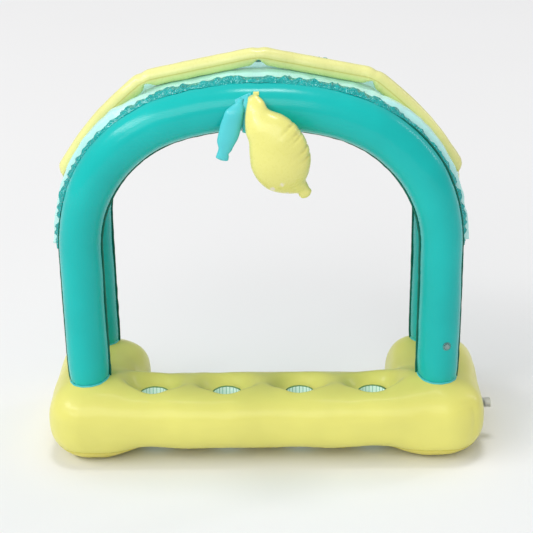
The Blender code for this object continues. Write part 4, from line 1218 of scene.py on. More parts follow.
    def rib_corners(self) -> list[Array]:
        """The ridge tube's ends and bends, in X and Z."""
        shape = self.shape
        reach = self.rest + 2 * shape.swell - 0.005 + self.rib_radius
        crown, shoulder = shape.crown_radius + reach, shape.shoulder_radius + reach - self.rib_press
        top = np.array([0.0, shape.crown_z + crown / math.cos(self.rib_upper)])
        upper = np.array([crown * math.sin(self.rib_upper), shape.crown_z + crown * math.cos(self.rib_upper)])
        run = (upper - top) / np.linalg.norm(upper - top)
        lower = np.array([shape.shoulder_x + shoulder * math.sin(self.rib_lower),
                          shape.shoulder_z + shoulder * math.cos(self.rib_lower)])
        down = np.array([math.cos(self.rib_lower), -math.sin(self.rib_lower)])
        offset = lower - top
        turn = run[0] * down[1] - run[1] * down[0]
        bend = top + run * ((offset[0] * down[1] - offset[1] * down[0]) / turn)
        end = lower + down * (self.rib_overhang + np.linalg.norm(lower - bend) / 2)
        flip = np.array([-1.0, 1.0])
        return [end * flip, bend * flip, top, bend, end]

    def rib_line(self) -> tuple[Array, Array, Array, list[float]]:
        """The ridge tube's centre line with small rounded bends.

        Returns:
            Places and unit directions in X and Z, distances along, and the distances of the bends.
        """
        corners = self.rib_corners()
        places, bends = [corners[0]], []
        for i in range(1, 4):
            before = (corners[i] - corners[i - 1]) / np.linalg.norm(corners[i] - corners[i - 1])
            after = (corners[i + 1] - corners[i]) / np.linalg.norm(corners[i + 1] - corners[i])
            first, last = corners[i] - before * self.fillet, corners[i] + after * self.fillet
            for t in np.linspace(0, 1, 9):
                places.append(first * (1 - t) ** 2 + corners[i] * 2 * t * (1 - t) + last * t * t)
        places.append(corners[-1])
        rough = np.array(places)
        length = np.concatenate([[0], np.cumsum(np.linalg.norm(np.diff(rough, axis=0), axis=1))])
        along = np.linspace(0, length[-1], round(length[-1] / self.rib_step))
        line = np.stack([np.interp(along, length, rough[:, k]) for k in (0, 1)], axis=1)
        for i in (5, 14, 23):
            bends.append(float(length[i]))
        from_end = np.minimum(along, length[-1] - along)
        bow = self.rib_bow * np.sin(np.pi * np.clip(from_end / bends[0], 0.0, 1.0))
        run = self.directions(line)
        line = line + np.stack([-run[:, 1], run[:, 0]], axis=1) * bow[:, None]
        run = self.directions(line)
        return line, run, along, bends

    @staticmethod
    def directions(line: Array) -> Array:
        """Unit directions along a line of places."""
        run = np.gradient(line, axis=0)
        return run / np.linalg.norm(run, axis=1, keepdims=True)

    def build_rib(self) -> None:
        """A straight-sided tube that buckles at its three bends and is welded flat at its ends."""
        line, run, along, bends = self.rib_line()
        total = along[-1]
        normal = np.stack([-run[:, 1], run[:, 0]], axis=1)
        turn = np.linspace(0, 2 * math.pi, self.rib_sides, endpoint=False)[None, :]
        side, up = np.sin(turn), np.cos(turn)
        near_end = np.minimum(along, total - along)[:, None]
        cap = np.clip(near_end / self.rib_end, 0, 1)
        full = np.sqrt(np.clip(1 - (1 - cap) ** 2, 0, 1))
        tall = self.rib_radius * (0.06 + 0.94 * full)
        wide = self.rib_radius * (0.86 + 0.14 * full + 0.06 * np.exp(-near_end / 0.02))
        out = tall * up
        across = wide * side
        flat = 0 * turn + 0 * along[:, None]
        place = np.stack([along[:, None] + flat, self.rib_radius * turn + flat, flat], axis=2)
        ripple = wander(place * np.array([1, 0.12, 1]), 0.0058, 6.0)
        bump = wander(place, 0.05, 2.0) * 0.0009
        under = smooth_step(-up, -0.5, 0.9)
        for bend in bends:
            gap = np.abs(along - bend)[:, None]
            valley = np.clip(1 - gap / 0.034, 0, 1) ** 1.6
            out = out + self.pinch * valley * np.clip(-up, 0, 1) ** 1.5
            out = out - 0.0035 * bell(gap, 0.012) * np.clip(up, 0, 1)
            across = across * (1 + 0.06 * valley * np.clip(-up + 0.3, 0, 1))
            bump = bump + 0.0016 * ripple * bell(gap - 0.012, 0.026) * (0.15 + 0.85 * under)
        bump = bump + 0.0016 * ripple * np.exp(-near_end / 0.018)
        out, across = out + bump * up, across + bump * side
        px = line[:, 0][:, None] + normal[:, 0][:, None] * out
        pz = line[:, 1][:, None] + normal[:, 1][:, None] * out
        grid = seated(np.stack([px, across, pz], axis=2), *valve_seat("ridge_valve"), RIB_SEAT)
        rib = skin("ridge_tube_film", grid, True, (End.FAN, End.FAN))
        weld = np.exp(-near_end / 0.003)
        for seam in (math.pi / 2, 3 * math.pi / 2):
            weld = weld + 0.8 * np.exp(-np.abs(turn - seam) * self.rib_radius / 0.0012)
        mark(rib, "weld", np.clip(weld, 0, 1))
        settle(rib, RIB_FILM, replaces=["ridge_tube"])
        self.build_tail(Side.LEFT, line[0])
        self.build_tail(Side.RIGHT, line[-1])

    def build_tail(self, side: Side, corner: Array) -> None:
        """A loose strip below the ridge tube's end, twisted a little."""
        share = np.linspace(0, 1, 60)
        length, width = self.tail, 0.014
        drift = 0.012 * share + 0.018 * smooth_step(share, 0.75, 1.0)
        x = corner[0] + side.value * (0.001 + drift) + 0.0012 * np.sin(14 * share)
        z = corner[1] - 0.002 - (length - 0.004) * share
        lane = np.linspace(-1, 1, 9)
        twist = 0.5 * share[:, None] * lane[None, :]
        y = lane[None, :] * width / 2 * (1 - 0.25 * share[:, None])
        px = x[:, None] + 0.0030 * twist + 0.0012 * np.sin(7 * share[:, None] + 2 * lane[None, :])
        grid = np.stack([px, y, z[:, None] + 0 * y], axis=2)
        node = f"ridge_tail_{side.name.lower()}"
        tail = skin(f"{node}_film", grid, False, outside=np.array([float(side.value), 0, 0]))
        thicken(tail, 0.0007)
        settle(tail, RIB_FILM, replaces=[node])


# Lemon and leaves

# Pale dots on the lemon: how far along its line, how far across, and radius
LEMON_SPOTS = ((0.258, -0.036, 0.0070), (0.261, -0.068, 0.0090), (0.300, -0.0385, 0.0050))


@dataclass
class Blown:
    """A flat outline of two films, blown up and hung over the front arch's tube."""

    name: str
    top: tuple[float, float, float]
    tilt: float
    size: tuple[float, float, float]
    lengths: tuple[float, ...]
    widths: tuple[float, ...]
    bows: tuple[float, ...]
    stand_off: float
    fullness: float = 0.75
    valve: str = ""
    puckers: tuple[float, ...] = ()
    rows: int = 90
    lanes: int = 34
    pressure: float = 9.0
    frames: int = 22

    def outline(self) -> tuple[Array, Array, Array]:
        """Drop, half width and bow at each row, smoothed from the tables."""
        share = np.linspace(0, 1, self.rows)
        share = 0.5 - 0.5 * np.cos(np.pi * share) * (0.85 + 0.15 * np.abs(np.cos(np.pi * share)))
        knots = np.array((0.0, *self.lengths, 1.0))
        widths = np.array((self.widths[0] * 0.75, *self.widths, 0.03))
        bows = np.array((self.bows[0], *self.bows, self.bows[-1]))
        length, half_width = self.size[:2]
        half, bow = (self.rounded(share, knots, values) * half_width for values in (widths, bows))
        return share * length, half, bow

    @staticmethod
    def rounded(share: Array, knots: Array, values: Array) -> Array:
        """Values between knots on a smooth curve."""
        slope = np.gradient(values, knots)
        place = np.clip(np.searchsorted(knots, share) - 1, 0, len(knots) - 2)
        gap = knots[place + 1] - knots[place]
        t = (share - knots[place]) / gap
        a, b = values[place], values[place + 1]
        return ((1 + 2 * t) * (1 - t) ** 2 * a + t * (1 - t) ** 2 * gap * slope[place]
                + t * t * (3 - 2 * t) * b + t * t * (t - 1) * gap * slope[place + 1])

    def flat_grid(self, spare: float, thickness: float) -> Array:
        """Front and back films as one ring of lanes for each row, nearly flat."""
        drop, half, bow = self.outline()
        turn = np.linspace(0, 2 * math.pi, 2 * self.lanes, endpoint=False)
        across = bow[:, None] + half[:, None] * np.cos(turn) * spare
        ends = np.clip(np.minimum(np.arange(self.rows), np.arange(self.rows)[::-1]) / 3, 0, 1)[:, None]
        y = thickness * np.sin(turn)[None, :] * ends
        return np.stack([across, y, -drop[:, None] * (1 + (spare - 1) * 0.4) + 0 * across], axis=2)

    def blown_grid(self) -> Array:
        """The grid after the air is let in, scaled back to its size."""
        drop, half, bow = self.outline()
        target = self.size[2]
        grid = self.flat_grid(1.25, 0.0012)
        obj = skin(self.name + "_air", grid, True, (End.FAN, End.FAN))
        cloth = obj.modifiers.new("air", "CLOTH")
        settings = cloth.settings
        settings.quality = 6
        settings.mass = 0.25
        settings.tension_stiffness = settings.compression_stiffness = 25.0
        settings.shear_stiffness = 6.0
        settings.bending_stiffness = 0.15
        settings.air_damping = 2.0
        settings.use_pressure = True
        settings.uniform_pressure_force = self.pressure
        settings.effector_weights.gravity = 0.0
        cloth.collision_settings.use_collision = False
        cloth.point_cache.frame_start, cloth.point_cache.frame_end = 1, self.frames
        for number in range(1, self.frames + 1):
            bpy.context.scene.frame_set(number)
        apply_modifiers(obj)
        bpy.context.scene.frame_set(1)
        count = grid.shape[0] * grid.shape[1]
        points = np.array([v.co for v in obj.data.vertices])[:count].reshape(grid.shape)
        bpy.data.objects.remove(obj)
        points -= (points[..., 1].max() + points[..., 1].min()) / 2 * np.array([0, 1, 0])
        low, high = self.evened(points[..., 0].min(axis=1)), self.evened(points[..., 0].max(axis=1))
        share = (points[..., 0] - low[:, None]) / (high - low)[:, None]
        points[..., 0] = blend((bow - half)[:, None], (bow + half)[:, None], share)
        points[..., 2] -= (drop + self.evened(points[..., 2].mean(axis=1)))[:, None]
        wanted = (target * (half / half.max()) ** 0.85)[:, None]
        deep = np.abs(points[..., 1]) / self.evened(np.abs(points[..., 1]).max(axis=1))[:, None]
        points[..., 1] = np.sign(points[..., 1]) * wanted * deep**self.fullness
        inwards = (bow + half)[:, None] - points[..., 0]
        for place in self.puckers:
            notch = bell(points[..., 2] + place + 0.25 * inwards, 0.0028)
            notch = notch * np.exp(-np.maximum(inwards, 0) / 0.016)
            points[..., 0] -= 0.0030 * notch
            points[..., 1] *= 1 - 0.35 * notch
        return points

    @staticmethod
    def evened(values: Array) -> Array:
        """Averages each value with its neighbours."""
        return np.convolve(np.pad(values, 4, mode="edge"), np.ones(9) / 9, mode="valid")

    def draped(self, shape: ArchShape) -> Array:
        """The blown grid, laid over the tube's front and turned to its tilt, in the stand's frame."""
        grid = self.blown_grid()
        depth = (grid[..., 1].max(axis=1) - grid[..., 1].min(axis=1)) / 2
        depth = self.evened(depth)
        sin, cos = math.sin(self.tilt), math.cos(self.tilt)
        x = self.top[0] + grid[..., 0] * cos - grid[..., 2] * sin
        z = self.top[2] + grid[..., 2] * cos + grid[..., 0] * sin
        middle_x = self.top[0] - grid[..., 2].mean(axis=1) * sin
        middle_z = self.top[2] + grid[..., 2].mean(axis=1) * cos
        reach = shape.crown_tube + self.stand_off + depth
        above = middle_z - shape.crown_z - np.sqrt(shape.crown_line**2 - middle_x**2)
        above = np.minimum(np.maximum(above, 0.0), reach * 0.999)
        lie = -shape.spacing / 2 - np.sqrt(reach**2 - above**2)
        grid = np.stack([x, lie[:, None] + grid[..., 1], z], axis=2)
        if self.valve:
            grid = self.leant_on(grid)
        return grid

    def leant_on(self, grid: Array) -> Array:
        """Lets the piece lean back below the tube, so that its back meets the valve's flange."""
        centre, out = valve_seat(self.valve)
        back = grid[:, : self.lanes]
        near = np.hypot(back[..., 0] - centre[0], back[..., 2] - centre[2])
        row = np.unravel_index(near.argmin(), near.shape)
        shift = centre[1] - back[row][1]
        share = smooth_step(np.arange(self.rows), self.rows * 0.25, row[0] - 2)
        grid = grid + (share * shift)[:, None, None] * np.array([0.0, 1.0, 0.0])
        return seated(grid, centre, out, SMALL_FLANGE)


@dataclass
class Fruit:
    """The lemon on its tab, the large leaf on its web and the small leaf behind the lemon."""

    shape: ArchShape

    def on_tube(self, x: Array | float, angle: Array | float, clearance: float) -> Array:
        """Places on the front of the arch's crown; angle is up from straight ahead, round the tube."""
        turn = np.arcsin(np.asarray(x, float) / self.shape.crown_line)
        reach = self.shape.crown_tube + clearance
        out = self.shape.crown_line + reach * np.sin(angle)
        y = -self.shape.spacing / 2 - reach * np.cos(angle)
        px, py, pz = np.broadcast_arrays(out * np.sin(turn), y, self.shape.crown_z + out * np.cos(turn))
        return np.stack([px, py, pz], axis=-1)

    def build(self) -> None:
        """Builds the hanging pieces."""
        on_tab = 0.0026
        small_depth = 0.004
        lemon_top = self.on_tube(-0.004, math.radians(48.0), on_tab)
        lemon = Blown(
            "lemon", tuple(lemon_top), math.radians(24.5), (0.350, 0.087, 0.054),
            (0.02, 0.05, 0.139, 0.232, 0.301, 0.408, 0.508, 0.609,
             0.668, 0.765, 0.834, 0.879, 0.917, 0.955, 0.985),
            (0.21, 0.29, 0.449, 0.689, 0.80, 0.951, 1.03, 1.007,
             0.94, 0.73, 0.503, 0.369, 0.247, 0.216, 0.133),
            (-0.137, -0.148, -0.214, -0.110, -0.042, -0.053, -0.102, -0.136,
             -0.158, -0.199, -0.184, -0.083, 0.029, 0.053, 0.031),
            on_tab + 2 * small_depth + 0.0003, valve="lemon_valve",
            puckers=(0.1085, 0.135, 0.147, 0.1855, 0.21), rows=110,
        )
        leaf_lengths = (0.05, 0.12, 0.20, 0.345, 0.57, 0.72, 0.81, 0.86, 0.92, 0.985)
        leaf_widths = (0.30, 0.58, 0.81, 0.95, 0.965, 0.81, 0.645, 0.57, 0.58, 0.31)
        leaf_bows = (-0.05, -0.12, -0.24, -0.28, -0.26, -0.28, -0.22, -0.24, -0.21, -0.21)
        leaf_top = self.on_tube(-0.045, math.radians(34.0), 0.0016)
        leaf = Blown("leaf_large", tuple(leaf_top), math.radians(-17.0), (0.195, 0.031, 0.018),
                     leaf_lengths, leaf_widths, leaf_bows, 0.0008, rows=60, lanes=20, pressure=14.0)
        small_top = self.on_tube(-0.028, math.radians(42.5), on_tab)
        small = Blown("leaf_small", tuple(small_top), math.radians(-4.0), (0.112, 0.014, small_depth),
                      leaf_lengths, leaf_widths, (0.0,) * 10, on_tab, rows=40, lanes=12, pressure=14.0)
        hung = ((lemon, LEMON_FILM, "lemon_film", "lemon"), (leaf, LEAF_FILM, "leaf_film", "leaf"),
                (small, LEAF_FILM, "leaf_film", "stand"))
        for piece, finish, slot, body in hung:
            grid = piece.draped(self.shape)
            obj = skin(piece.name + "_blown", grid, True, (End.FAN, End.FAN))
            turn = np.linspace(0, 2 * math.pi, 2 * piece.lanes, endpoint=False)
            edge = np.exp(-np.minimum(np.abs(np.sin(turn)), 1) / 0.10)[None, :] * np.ones((piece.rows, 1))
            mark(obj, "weld", edge * 0.5)
            if piece is lemon:
                mark(obj, "spots", self.spots(grid, piece))
            settle(obj, finish, body, [piece.name])
        self.build_wrap("lemon_tab_film", (-0.012, 0.004), ((40.0, 50.0), (40.0, 50.0)),
                        LEMON_FILM, "lemon_tab")
        self.build_wrap("leaf_web_film", (-0.064, -0.018), ((14.0, 32.0), (-30.0, 49.0)),
                        LEAF_FILM, "leaf_web")

    @staticmethod
    def spots(grid: Array, piece: Blown) -> Array:
        """Three pale dots low on the front of the lemon."""
        front = np.arange(grid.shape[1]) >= piece.lanes
        total = np.zeros(grid.shape[:2])
        top = np.array(piece.top)
        for along, across, size in LEMON_SPOTS:
            x = top[0] + along * math.sin(piece.tilt) + across * math.cos(piece.tilt)
            z = top[2] - along * math.cos(piece.tilt) + across * math.sin(piece.tilt)
            away = np.hypot(grid[..., 0] - x, grid[..., 2] - z)
            total += (1 - smooth_step(away, size * 0.7, size)) * front[None, :]
        return total

    def build_wrap(self, name: str, places: tuple[float, float],
                   angles: tuple[tuple[float, float], tuple[float, float]],
                   finish: Film, node: str) -> None:
        """A film lying on the front arch's skin, between two angles round it at each of its ends."""
        x, share = np.linspace(*places, 22), np.linspace(0, 1, 22)
        low, high = blend(angles[0][0], angles[1][0], share), blend(angles[0][1], angles[1][1], share)
        angle = np.radians(blend(low[None, :], high[None, :], np.linspace(0, 1, 20)[:, None]))
        grid = self.on_tube(x[None, :], angle, 0.0009)
        grid = grid + 0.0004 * wander(grid, 0.008, 1.0)[..., None] * np.array([0, -1, 0])
        film = skin(name, grid, False, outside=np.array([0.0, -1.0, 0.4]))
        thicken(film, 0.0008, 1.0)
        settle(film, finish, replaces=[node])


# Valves and hose fitting


def start_ring(name: str, sides: int, radius: float, height: float) -> bpy.types.Object:
    """Adds a circle of corners as the start of a turned piece, and stays in edit mode with it selected."""
    bpy.ops.object.select_all(action="DESELECT")
    bpy.ops.mesh.primitive_circle_add(vertices=sides, radius=radius, location=(0, 0, 0))
    obj = bpy.context.object
    obj.name = obj.data.name = name
    bpy.ops.object.mode_set(mode="EDIT")
    bpy.ops.mesh.select_all(action="SELECT")
    bpy.ops.transform.translate(value=(0, 0, height))
    return obj


def turned(name: str, profile: Sequence[tuple[float, float]], sides: int = 48, bevel: float = 0.0003,
           ridge: tuple[float, float, float] | None = None) -> bpy.types.Object:
    """Turns a closed profile about Z by extruding a circle from ring to ring.

    Args:
        name: the piece's name.
        profile: (radius, height) of each ring, in order; off the axis, its ends are joined up.
        sides: corners in each ring.
        bevel: how far its edges are rounded.
        ridge: the heights between which every other side face stands proud, and by how much.

    Returns:
        The piece, about the Z axis at the origin.
    """
    solid = profile[0][0] == 0
    rings = [p for p in profile if p[0] > 0]
    obj = start_ring(name, sides, *rings[0])
    if solid:
        bpy.ops.mesh.edge_face_add()
        bpy.ops.mesh.select_all(action="SELECT")
    extrude = bpy.ops.mesh.extrude_region_move if solid else bpy.ops.mesh.extrude_edges_move
    for (radius, height), (next_radius, next_height) in zip(rings, rings[1:]):
        extrude(TRANSFORM_OT_translate={"value": (0, 0, next_height - height)})
        grow = next_radius / radius
        bpy.ops.transform.resize(value=(grow, grow, 1), center_override=(0, 0, next_height))
    if not solid:
        bpy.ops.mesh.select_all(action="DESELECT")
        bpy.ops.mesh.select_mode(type="EDGE")
        bpy.ops.mesh.select_non_manifold()
        bpy.ops.mesh.bridge_edge_loops()
    bpy.ops.mesh.select_all(action="SELECT")
    bpy.ops.mesh.normals_make_consistent(inside=False)
    bpy.ops.object.mode_set(mode="OBJECT")
    if ridge:
        raise_ridges(obj, sides, *ridge)
    if bevel:
        rounding = obj.modifiers.new("edges", "BEVEL")
        rounding.width = bevel
        rounding.segments = 2
        rounding.limit_method = "ANGLE"
        apply_modifiers(obj)
    bpy.ops.object.shade_smooth_by_angle(angle=math.radians(35))
    return obj


def raise_ridges(obj: bpy.types.Object, sides: int, low: float, high: float, proud: float) -> None:
    """Raises every other outward side face between two heights into a grip."""
    for face in obj.data.polygons:
        middle = face.center
        outward = Vector((middle.x, middle.y, 0)).normalized()
        turn = math.atan2(middle.y, middle.x) / (2 * math.pi) * sides
        on_side = low < middle.z < high and face.normal.dot(outward) > 0.9
        face.select = bool(on_side and round(turn - 0.5) % 2 == 0)
    for edge in obj.data.edges:
        edge.select = False
    for vertex in obj.data.vertices:
        vertex.select = False
    chosen = [face.index for face in obj.data.polygons if face.select]
    bpy.ops.object.mode_set(mode="EDIT")
    bpy.ops.mesh.select_mode(type="FACE")
    bpy.ops.mesh.select_all(action="DESELECT")
    bpy.ops.object.mode_set(mode="OBJECT")
    for index in chosen:
        obj.data.polygons[index].select = True
    bpy.ops.object.mode_set(mode="EDIT")
    bpy.ops.mesh.inset(thickness=0.00025, use_individual=True)
    bpy.ops.mesh.extrude_faces_move(TRANSFORM_OT_shrink_fatten={"value": proud})
    bpy.ops.object.mode_set(mode="OBJECT")


def put(obj: bpy.types.Object, place: Matrix) -> None:
    """Moves a piece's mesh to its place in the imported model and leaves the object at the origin."""
    obj.data.transform(place)
    obj.data.update()


@dataclass
class Valve:
    """An air valve: welded flange, stem, cap and strap; the stem's inner flap is not built."""

    name: str
    body: str
    flange: float
    stem: float
    bore: float
    length: float
    cap: float
    gap: float = 0.0003
    plate: float = 0.0014

    def place(self) -> Matrix:
        """The valve's frame from the record's joints: +Z out of the film, +X to the cap's hinge."""
        joints = {joint["name"]: joint for joint in frame["joints"]}
        out = Vector(joints[f"{self.name}_pull"]["axis"]).normalized()
        hinge = Vector(joints[f"{self.name}_cap_hinge"]["pos_m"])
        low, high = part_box(f"{self.name}_flange")
        centre = (low + high) / 2 - out * (self.gap + self.plate / 2)
        side = hinge - centre
        side = (side - out * side.dot(out)).normalized()
        return Matrix.Translation(centre) @ Matrix((side, out.cross(side), out)).transposed().to_4x4()

    def build(self) -> None:
        """Builds the four pieces."""
        place = self.place()
        bore = self.stem + 0.0005
        low, high = self.gap, self.gap + self.plate
        ring = [(bore, low), (self.flange, low), (self.flange, low + 0.0005),
                (self.flange - 0.0012, low + 0.0008), (self.flange - 0.0026, low + 0.0007),
                (self.cap + 0.0020, low + 0.0008), (self.cap + 0.0012, high), (bore, high)]
        flange = turned(f"{self.name}_flange_disc", ring, bevel=0.00012)
        put(flange, place)
        settle(flange, FLANGE_PLASTIC, self.body, [f"{self.name}_flange"])

        head_low = high + self.gap
        head_high = head_low + self.plate
        foot = head_high - self.length
        wall = [(self.bore, foot), (self.stem, foot), (self.stem, head_low - 0.0008),
                (self.stem - 0.0004, head_low - 0.0005), (self.stem, head_low - 0.0002),
                (self.stem, head_low), (self.cap, head_low), (self.cap, head_high), (self.bore, head_high)]
        stem = turned(f"{self.name}_stem_tube", wall, bevel=0.00015)
        put(stem, place)
        settle(stem, CLEAR_PLASTIC, f"{self.name}_stem", [f"{self.name}_stem"])

        cap_low = head_high + self.gap
        plug = self.bore - 0.0014
        lid = [(0, cap_low - 0.0030), (plug * 0.86, cap_low - 0.0030), (plug, cap_low - 0.0022),
               (plug, cap_low), (self.cap, cap_low), (self.cap, cap_low + self.plate * 0.7),
               (self.cap - 0.0006, cap_low + self.plate), (self.cap * 0.55, cap_low + self.plate),
               (self.cap * 0.45, cap_low + self.plate * 0.7)]
        cap = turned(f"{self.name}_cap_plug", lid, bevel=0.00015)
        put(cap, place)
        settle(cap, CLEAR_PLASTIC, f"{self.name}_cap", [f"{self.name}_cap"])
        self.build_strap(place, head_low, cap_low)

    def build_strap(self, place: Matrix, low: float, high: float) -> None:
        """A short straight band at the hinge that holds the cap to the stem's head."""
        bpy.ops.object.select_all(action="DESELECT")
        bpy.ops.mesh.primitive_cube_add(size=1.0, location=(0, 0, 0))
        strap = bpy.context.object
        strap.name = strap.data.name = f"{self.name}_strap"
        bpy.ops.object.mode_set(mode="EDIT")
        bpy.ops.mesh.select_all(action="SELECT")
        tall = high - low + self.plate
        bpy.ops.transform.resize(value=(0.0010, self.cap * 0.55, tall), center_override=(0, 0, 0))
        bpy.ops.transform.translate(value=(self.cap + 0.0002, 0, (low + high + self.plate) / 2))
        bpy.ops.mesh.subdivide(number_cuts=3)
        bpy.ops.object.mode_set(mode="OBJECT")
        rounding = strap.modifiers.new("edges", "BEVEL")
        rounding.width, rounding.segments = 0.0002, 2
        apply_modifiers(strap)
        bpy.ops.object.shade_smooth_by_angle(angle=math.radians(40))
        put(strap, place)
        CLEAR_PLASTIC.dress(strap)
        f"{self.name}_stem"
        f"{self.name}_cap"
        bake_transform(strap)
        log.info("%s: %d faces", strap.name, len(strap.data.polygons))


@dataclass
class HoseFitting:
    """Flange, spigot, washer and ridged nut on the right side of the base."""

    spigot: float = 0.0080
    bore: float = 0.0055
    reach: float = 0.0190
    sink: float = 0.0150
    collar: float = 0.0105
    collar_length: float = 0.0030
    nut: float = 0.0155
    nut_bore: float = 0.0132
    nut_length: float = 0.0280
    nut_wall: float = 0.0030
    flange: float = 0.0200
    gap: float = 0.0003

    def place(self) -> Matrix:
        """The fitting's frame: +Z out of the base's side."""
        joint = {joint["name"]: joint for joint in frame["joints"]}["hose_nut_spin"]
        out = Vector((1, 0, 0))
        up = Vector((0, 0, 1))
        turn = Matrix((up, out.cross(up), out)).transposed().to_4x4()
        return Matrix.Translation(Vector(joint["pos_m"])) @ turn

    def build(self) -> None:
        """Builds the four pieces."""
        place = self.place()
        bore = self.spigot + self.gap
        high = self.gap + 0.0020
        disc = [(bore, self.gap), (self.flange, self.gap), (self.flange, self.gap + 0.0008),
                (self.flange - 0.0020, self.gap + 0.0013), (self.flange - 0.0060, self.gap + 0.0012),
                (bore + 0.0030, high), (bore, high)]
        flange = turned("hose_flange_disc", disc, bevel=0.0002)
        put(flange, place)
        settle(flange, RING_FILM, "stand", ["hose_flange"])

        low = self.reach - self.collar_length
        wall = [(self.bore, -self.sink), (self.spigot, -self.sink), (self.spigot, low),
                (self.collar, low + 0.0003), (self.collar, self.reach), (self.bore, self.reach)]
        spigot = turned("hose_spigot_tube", wall, bevel=0.0002)
        put(spigot, place)
        settle(spigot, CLEAR_PLASTIC, "stand", ["hose_spigot"])

        near, far = self.reach + self.gap, self.reach + self.gap + 0.0025
        outer = self.nut_bore - 0.0005
        ring = [(self.bore, near), (outer, near), (outer, far), (self.bore, far)]
        washer = turned("hose_washer_ring", ring, bevel=0.0004)
        put(washer, place)
        settle(washer, RUBBER, "hose_nut", ["hose_washer"])

        nut_low = low - self.gap - self.nut_wall
        nut_high = nut_low + self.nut_length
        hole, grip = self.spigot + 0.0005, self.nut - 0.0009
        shape = [(hole, nut_low), (grip - 0.0010, nut_low), (grip, nut_low + 0.0012),
                 (grip, nut_high - 0.0030), (grip - 0.0004, nut_high - 0.0026),
                 (grip + 0.0006, nut_high - 0.0020), (grip + 0.0006, nut_high), (self.nut_bore, nut_high)]
        thread = []
        level = nut_high - 0.0016
        while level > nut_low + self.nut_wall + 0.0052:
            root = self.nut_bore + 0.0005
            thread += [(self.nut_bore, level), (root, level - 0.0007), (root, level - 0.0010),
                       (self.nut_bore, level - 0.0017)]
            level -= 0.0023
        shape += thread + [(self.nut_bore, nut_low + self.nut_wall), (hole, nut_low + self.nut_wall)]
        ridge = (nut_low + 0.0016, nut_high - 0.0034, 0.0009)
        nut = turned("hose_nut_grip", shape, sides=60, bevel=0.0, ridge=ridge)
        put(nut, place)
        settle(nut, NUT_PLASTIC, "hose_nut", ["hose_nut"])


# Stage, light and camera


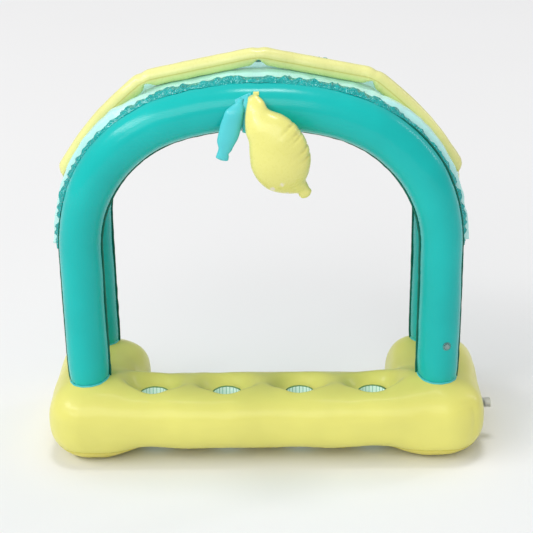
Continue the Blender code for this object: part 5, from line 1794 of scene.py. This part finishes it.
@dataclass
class Studio:
    """A pale floor, soft lamps and the photograph's camera."""

    paper: float = 0.84
    ambient: float = 0.40
    lamp_distance: float = 40.0
    image: float = 533.0
    focal: float = 1611.0
    pitch: float = math.radians(22.3)
    yaw: float = math.radians(-1.12)
    roll: float = math.radians(-0.96)
    distance: float = 5.0
    target: tuple[float, float, float] = (0.017, -0.148, 0.629)
    lamp_aim: float = 0.6

    def build(self) -> None:
        """Builds the floor, the world, the lamps and the camera."""
        self.build_floor()
        self.build_world()
        self.build_lamps()
        self.build_camera()

    def build_floor(self) -> None:
        """A plain pale floor with a faint unevenness."""
        bpy.ops.object.select_all(action="DESELECT")
        bpy.ops.mesh.primitive_plane_add(size=40.0, location=(0, 0, -0.0005))
        floor = bpy.context.object
        floor.name = "floor"
        made = bpy.data.materials.new("floor_paper")
        made.use_nodes = True
        tree = made.node_tree
        shader = tree.nodes["Principled BSDF"]
        shader.inputs["Specular IOR Level"].default_value = 0.0
        shader.inputs["Roughness"].default_value = 1.0
        place = add_node(tree, "ShaderNodeTexCoord").outputs["Object"]
        cloud = add_node(tree, "ShaderNodeTexNoise", Scale=0.8, Detail=1.0)
        tree.links.new(place, cloud.inputs["Vector"])
        tint = add_node(tree, "ShaderNodeMix", data_type="RGBA")
        tint.inputs[6].default_value = (self.paper * 0.99,) * 3 + (1,)
        tint.inputs[7].default_value = (self.paper * 1.01,) * 3 + (1,)
        tree.links.new(cloud.outputs["Fac"], tint.inputs[0])
        tree.links.new(tint.outputs[2], shader.inputs["Base Color"])
        floor.data.materials.append(made)

    def build_world(self) -> None:
        """Even light from all round, with the paper's tone where it is seen."""
        world = bpy.data.worlds.new("studio")
        bpy.context.scene.world = world
        world.use_nodes = True
        tree = world.node_tree
        link = tree.links.new
        plain = tree.nodes["Background"]
        plain.inputs["Color"].default_value = (1, 1, 1, 1)
        plain.inputs["Strength"].default_value = self.ambient
        seen = add_node(tree, "ShaderNodeBackground", Strength=self.paper)
        path = add_node(tree, "ShaderNodeLightPath")
        rays = add_node(tree, "ShaderNodeMath", operation="MAXIMUM")
        link(path.outputs["Is Camera Ray"], rays.inputs[0])
        link(path.outputs["Is Transmission Ray"], rays.inputs[1])
        mix = add_node(tree, "ShaderNodeMixShader")
        link(rays.outputs[0], mix.inputs[0])
        link(plain.outputs[0], mix.inputs[1])
        link(seen.outputs[0], mix.inputs[2])
        link(mix.outputs[0], tree.nodes["World Output"].inputs["Surface"])

    def lamp(self, name: str, azimuth: float, elevation: float, size: tuple[float, float], share: float,
             colour: Colour) -> None:
        """Adds a soft rectangular lamp, far off, that looks at the object's middle.

        Args:
            name: its name.
            azimuth: degrees round from the front, to the right.
            elevation: degrees above the floor.
            size: its width and height.
            share: how bright it alone makes a white floor, where 1 renders as white.
            colour: its light's colour.
        """
        a, e = math.radians(azimuth), math.radians(elevation)
        data = bpy.data.lights.new(name, "AREA")
        data.shape = "RECTANGLE"
        data.size, data.size_y = size
        data.color = colour
        data.energy = share * (math.pi * self.lamp_distance) ** 2 / math.sin(e)
        lamp = bpy.data.objects.new(name, data)
        bpy.context.scene.collection.objects.link(lamp)
        back = Vector((math.sin(a) * math.cos(e), -math.cos(a) * math.cos(e), math.sin(e)))
        lamp.location = Vector((0, 0, self.lamp_aim)) + back * self.lamp_distance
        lamp.rotation_mode = "QUATERNION"
        lamp.rotation_quaternion = (-back).to_track_quat("-Z", "Y")

    def build_lamps(self) -> None:
        """A long lamp at the left, a small one overhead, a broad one in front and a slim one behind."""
        self.lamp("key", -70.0, 42.0, (28.0, 7.0), 0.24, (1.0, 1.0, 1.0))
        self.lamp("top", 175.0, 84.0, (9.0, 9.0), 0.27, (1.0, 1.0, 1.0))
        self.lamp("fill", -18.0, 36.0, (34.0, 22.0), 0.22, (1.0, 1.0, 1.0))
        self.lamp("rim", 118.0, 24.0, (3.0, 18.0), 0.03, (0.86, 0.82, 1.0))

    def build_camera(self) -> None:
        """The camera stands where the photograph's did."""
        pitch, yaw = self.pitch, self.yaw
        ahead = Vector((math.sin(yaw) * math.cos(pitch), math.cos(yaw) * math.cos(pitch), -math.sin(pitch)))
        right = Vector((math.cos(yaw), -math.sin(yaw), 0))
        up = right.cross(ahead)
        turned_right = right * math.cos(self.roll) + up * math.sin(self.roll)
        turned_up = up * math.cos(self.roll) - right * math.sin(self.roll)
        data = bpy.data.cameras.new("camera")
        data.sensor_width = 36.0
        data.lens = self.focal / self.image * data.sensor_width
        camera = bpy.data.objects.new("camera", data)
        bpy.context.scene.collection.objects.link(camera)
        camera.rotation_mode = "QUATERNION"
        camera.location = Vector(self.target) + SHIFT - ahead * self.distance
        camera.rotation_quaternion = Matrix((turned_right, turned_up, -ahead)).transposed().to_quaternion()
        bpy.context.scene.camera = camera


def main() -> None:
    """Builds every class in order."""
    logging.basicConfig(level=logging.INFO, format="%(message)s")
    bpy.context.scene.view_settings.view_transform = "Standard"
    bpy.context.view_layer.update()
    shape = ArchShape()
    base = Base()
    base.legs = [Vector((side.value * shape.half_span, row.value * shape.spacing / 2, 0))
                 for side in Side for row in Row]
    base.build()
    CupWells().build()
    for row in Row:
        Arch(row, shape, base).build()
    Roof(shape).build()
    Fruit(shape).build()
    large = {"flange": LARGE_FLANGE, "stem": 0.0065, "bore": 0.0045, "length": 0.0200, "cap": 0.0072}
    small = {"flange": SMALL_FLANGE, "stem": 0.0052, "bore": 0.0034, "length": 0.0150, "cap": 0.0059}
    for name in ("front_arch_valve", "rear_arch_valve", "base_valve"):
        Valve(name, "stand", **large).build()
    Valve("ridge_valve", "stand", **small).build()
    Valve("lemon_valve", "lemon", **small).build()
    HoseFitting().build()
    Studio().build()


if __name__ == "__main__":
    main()
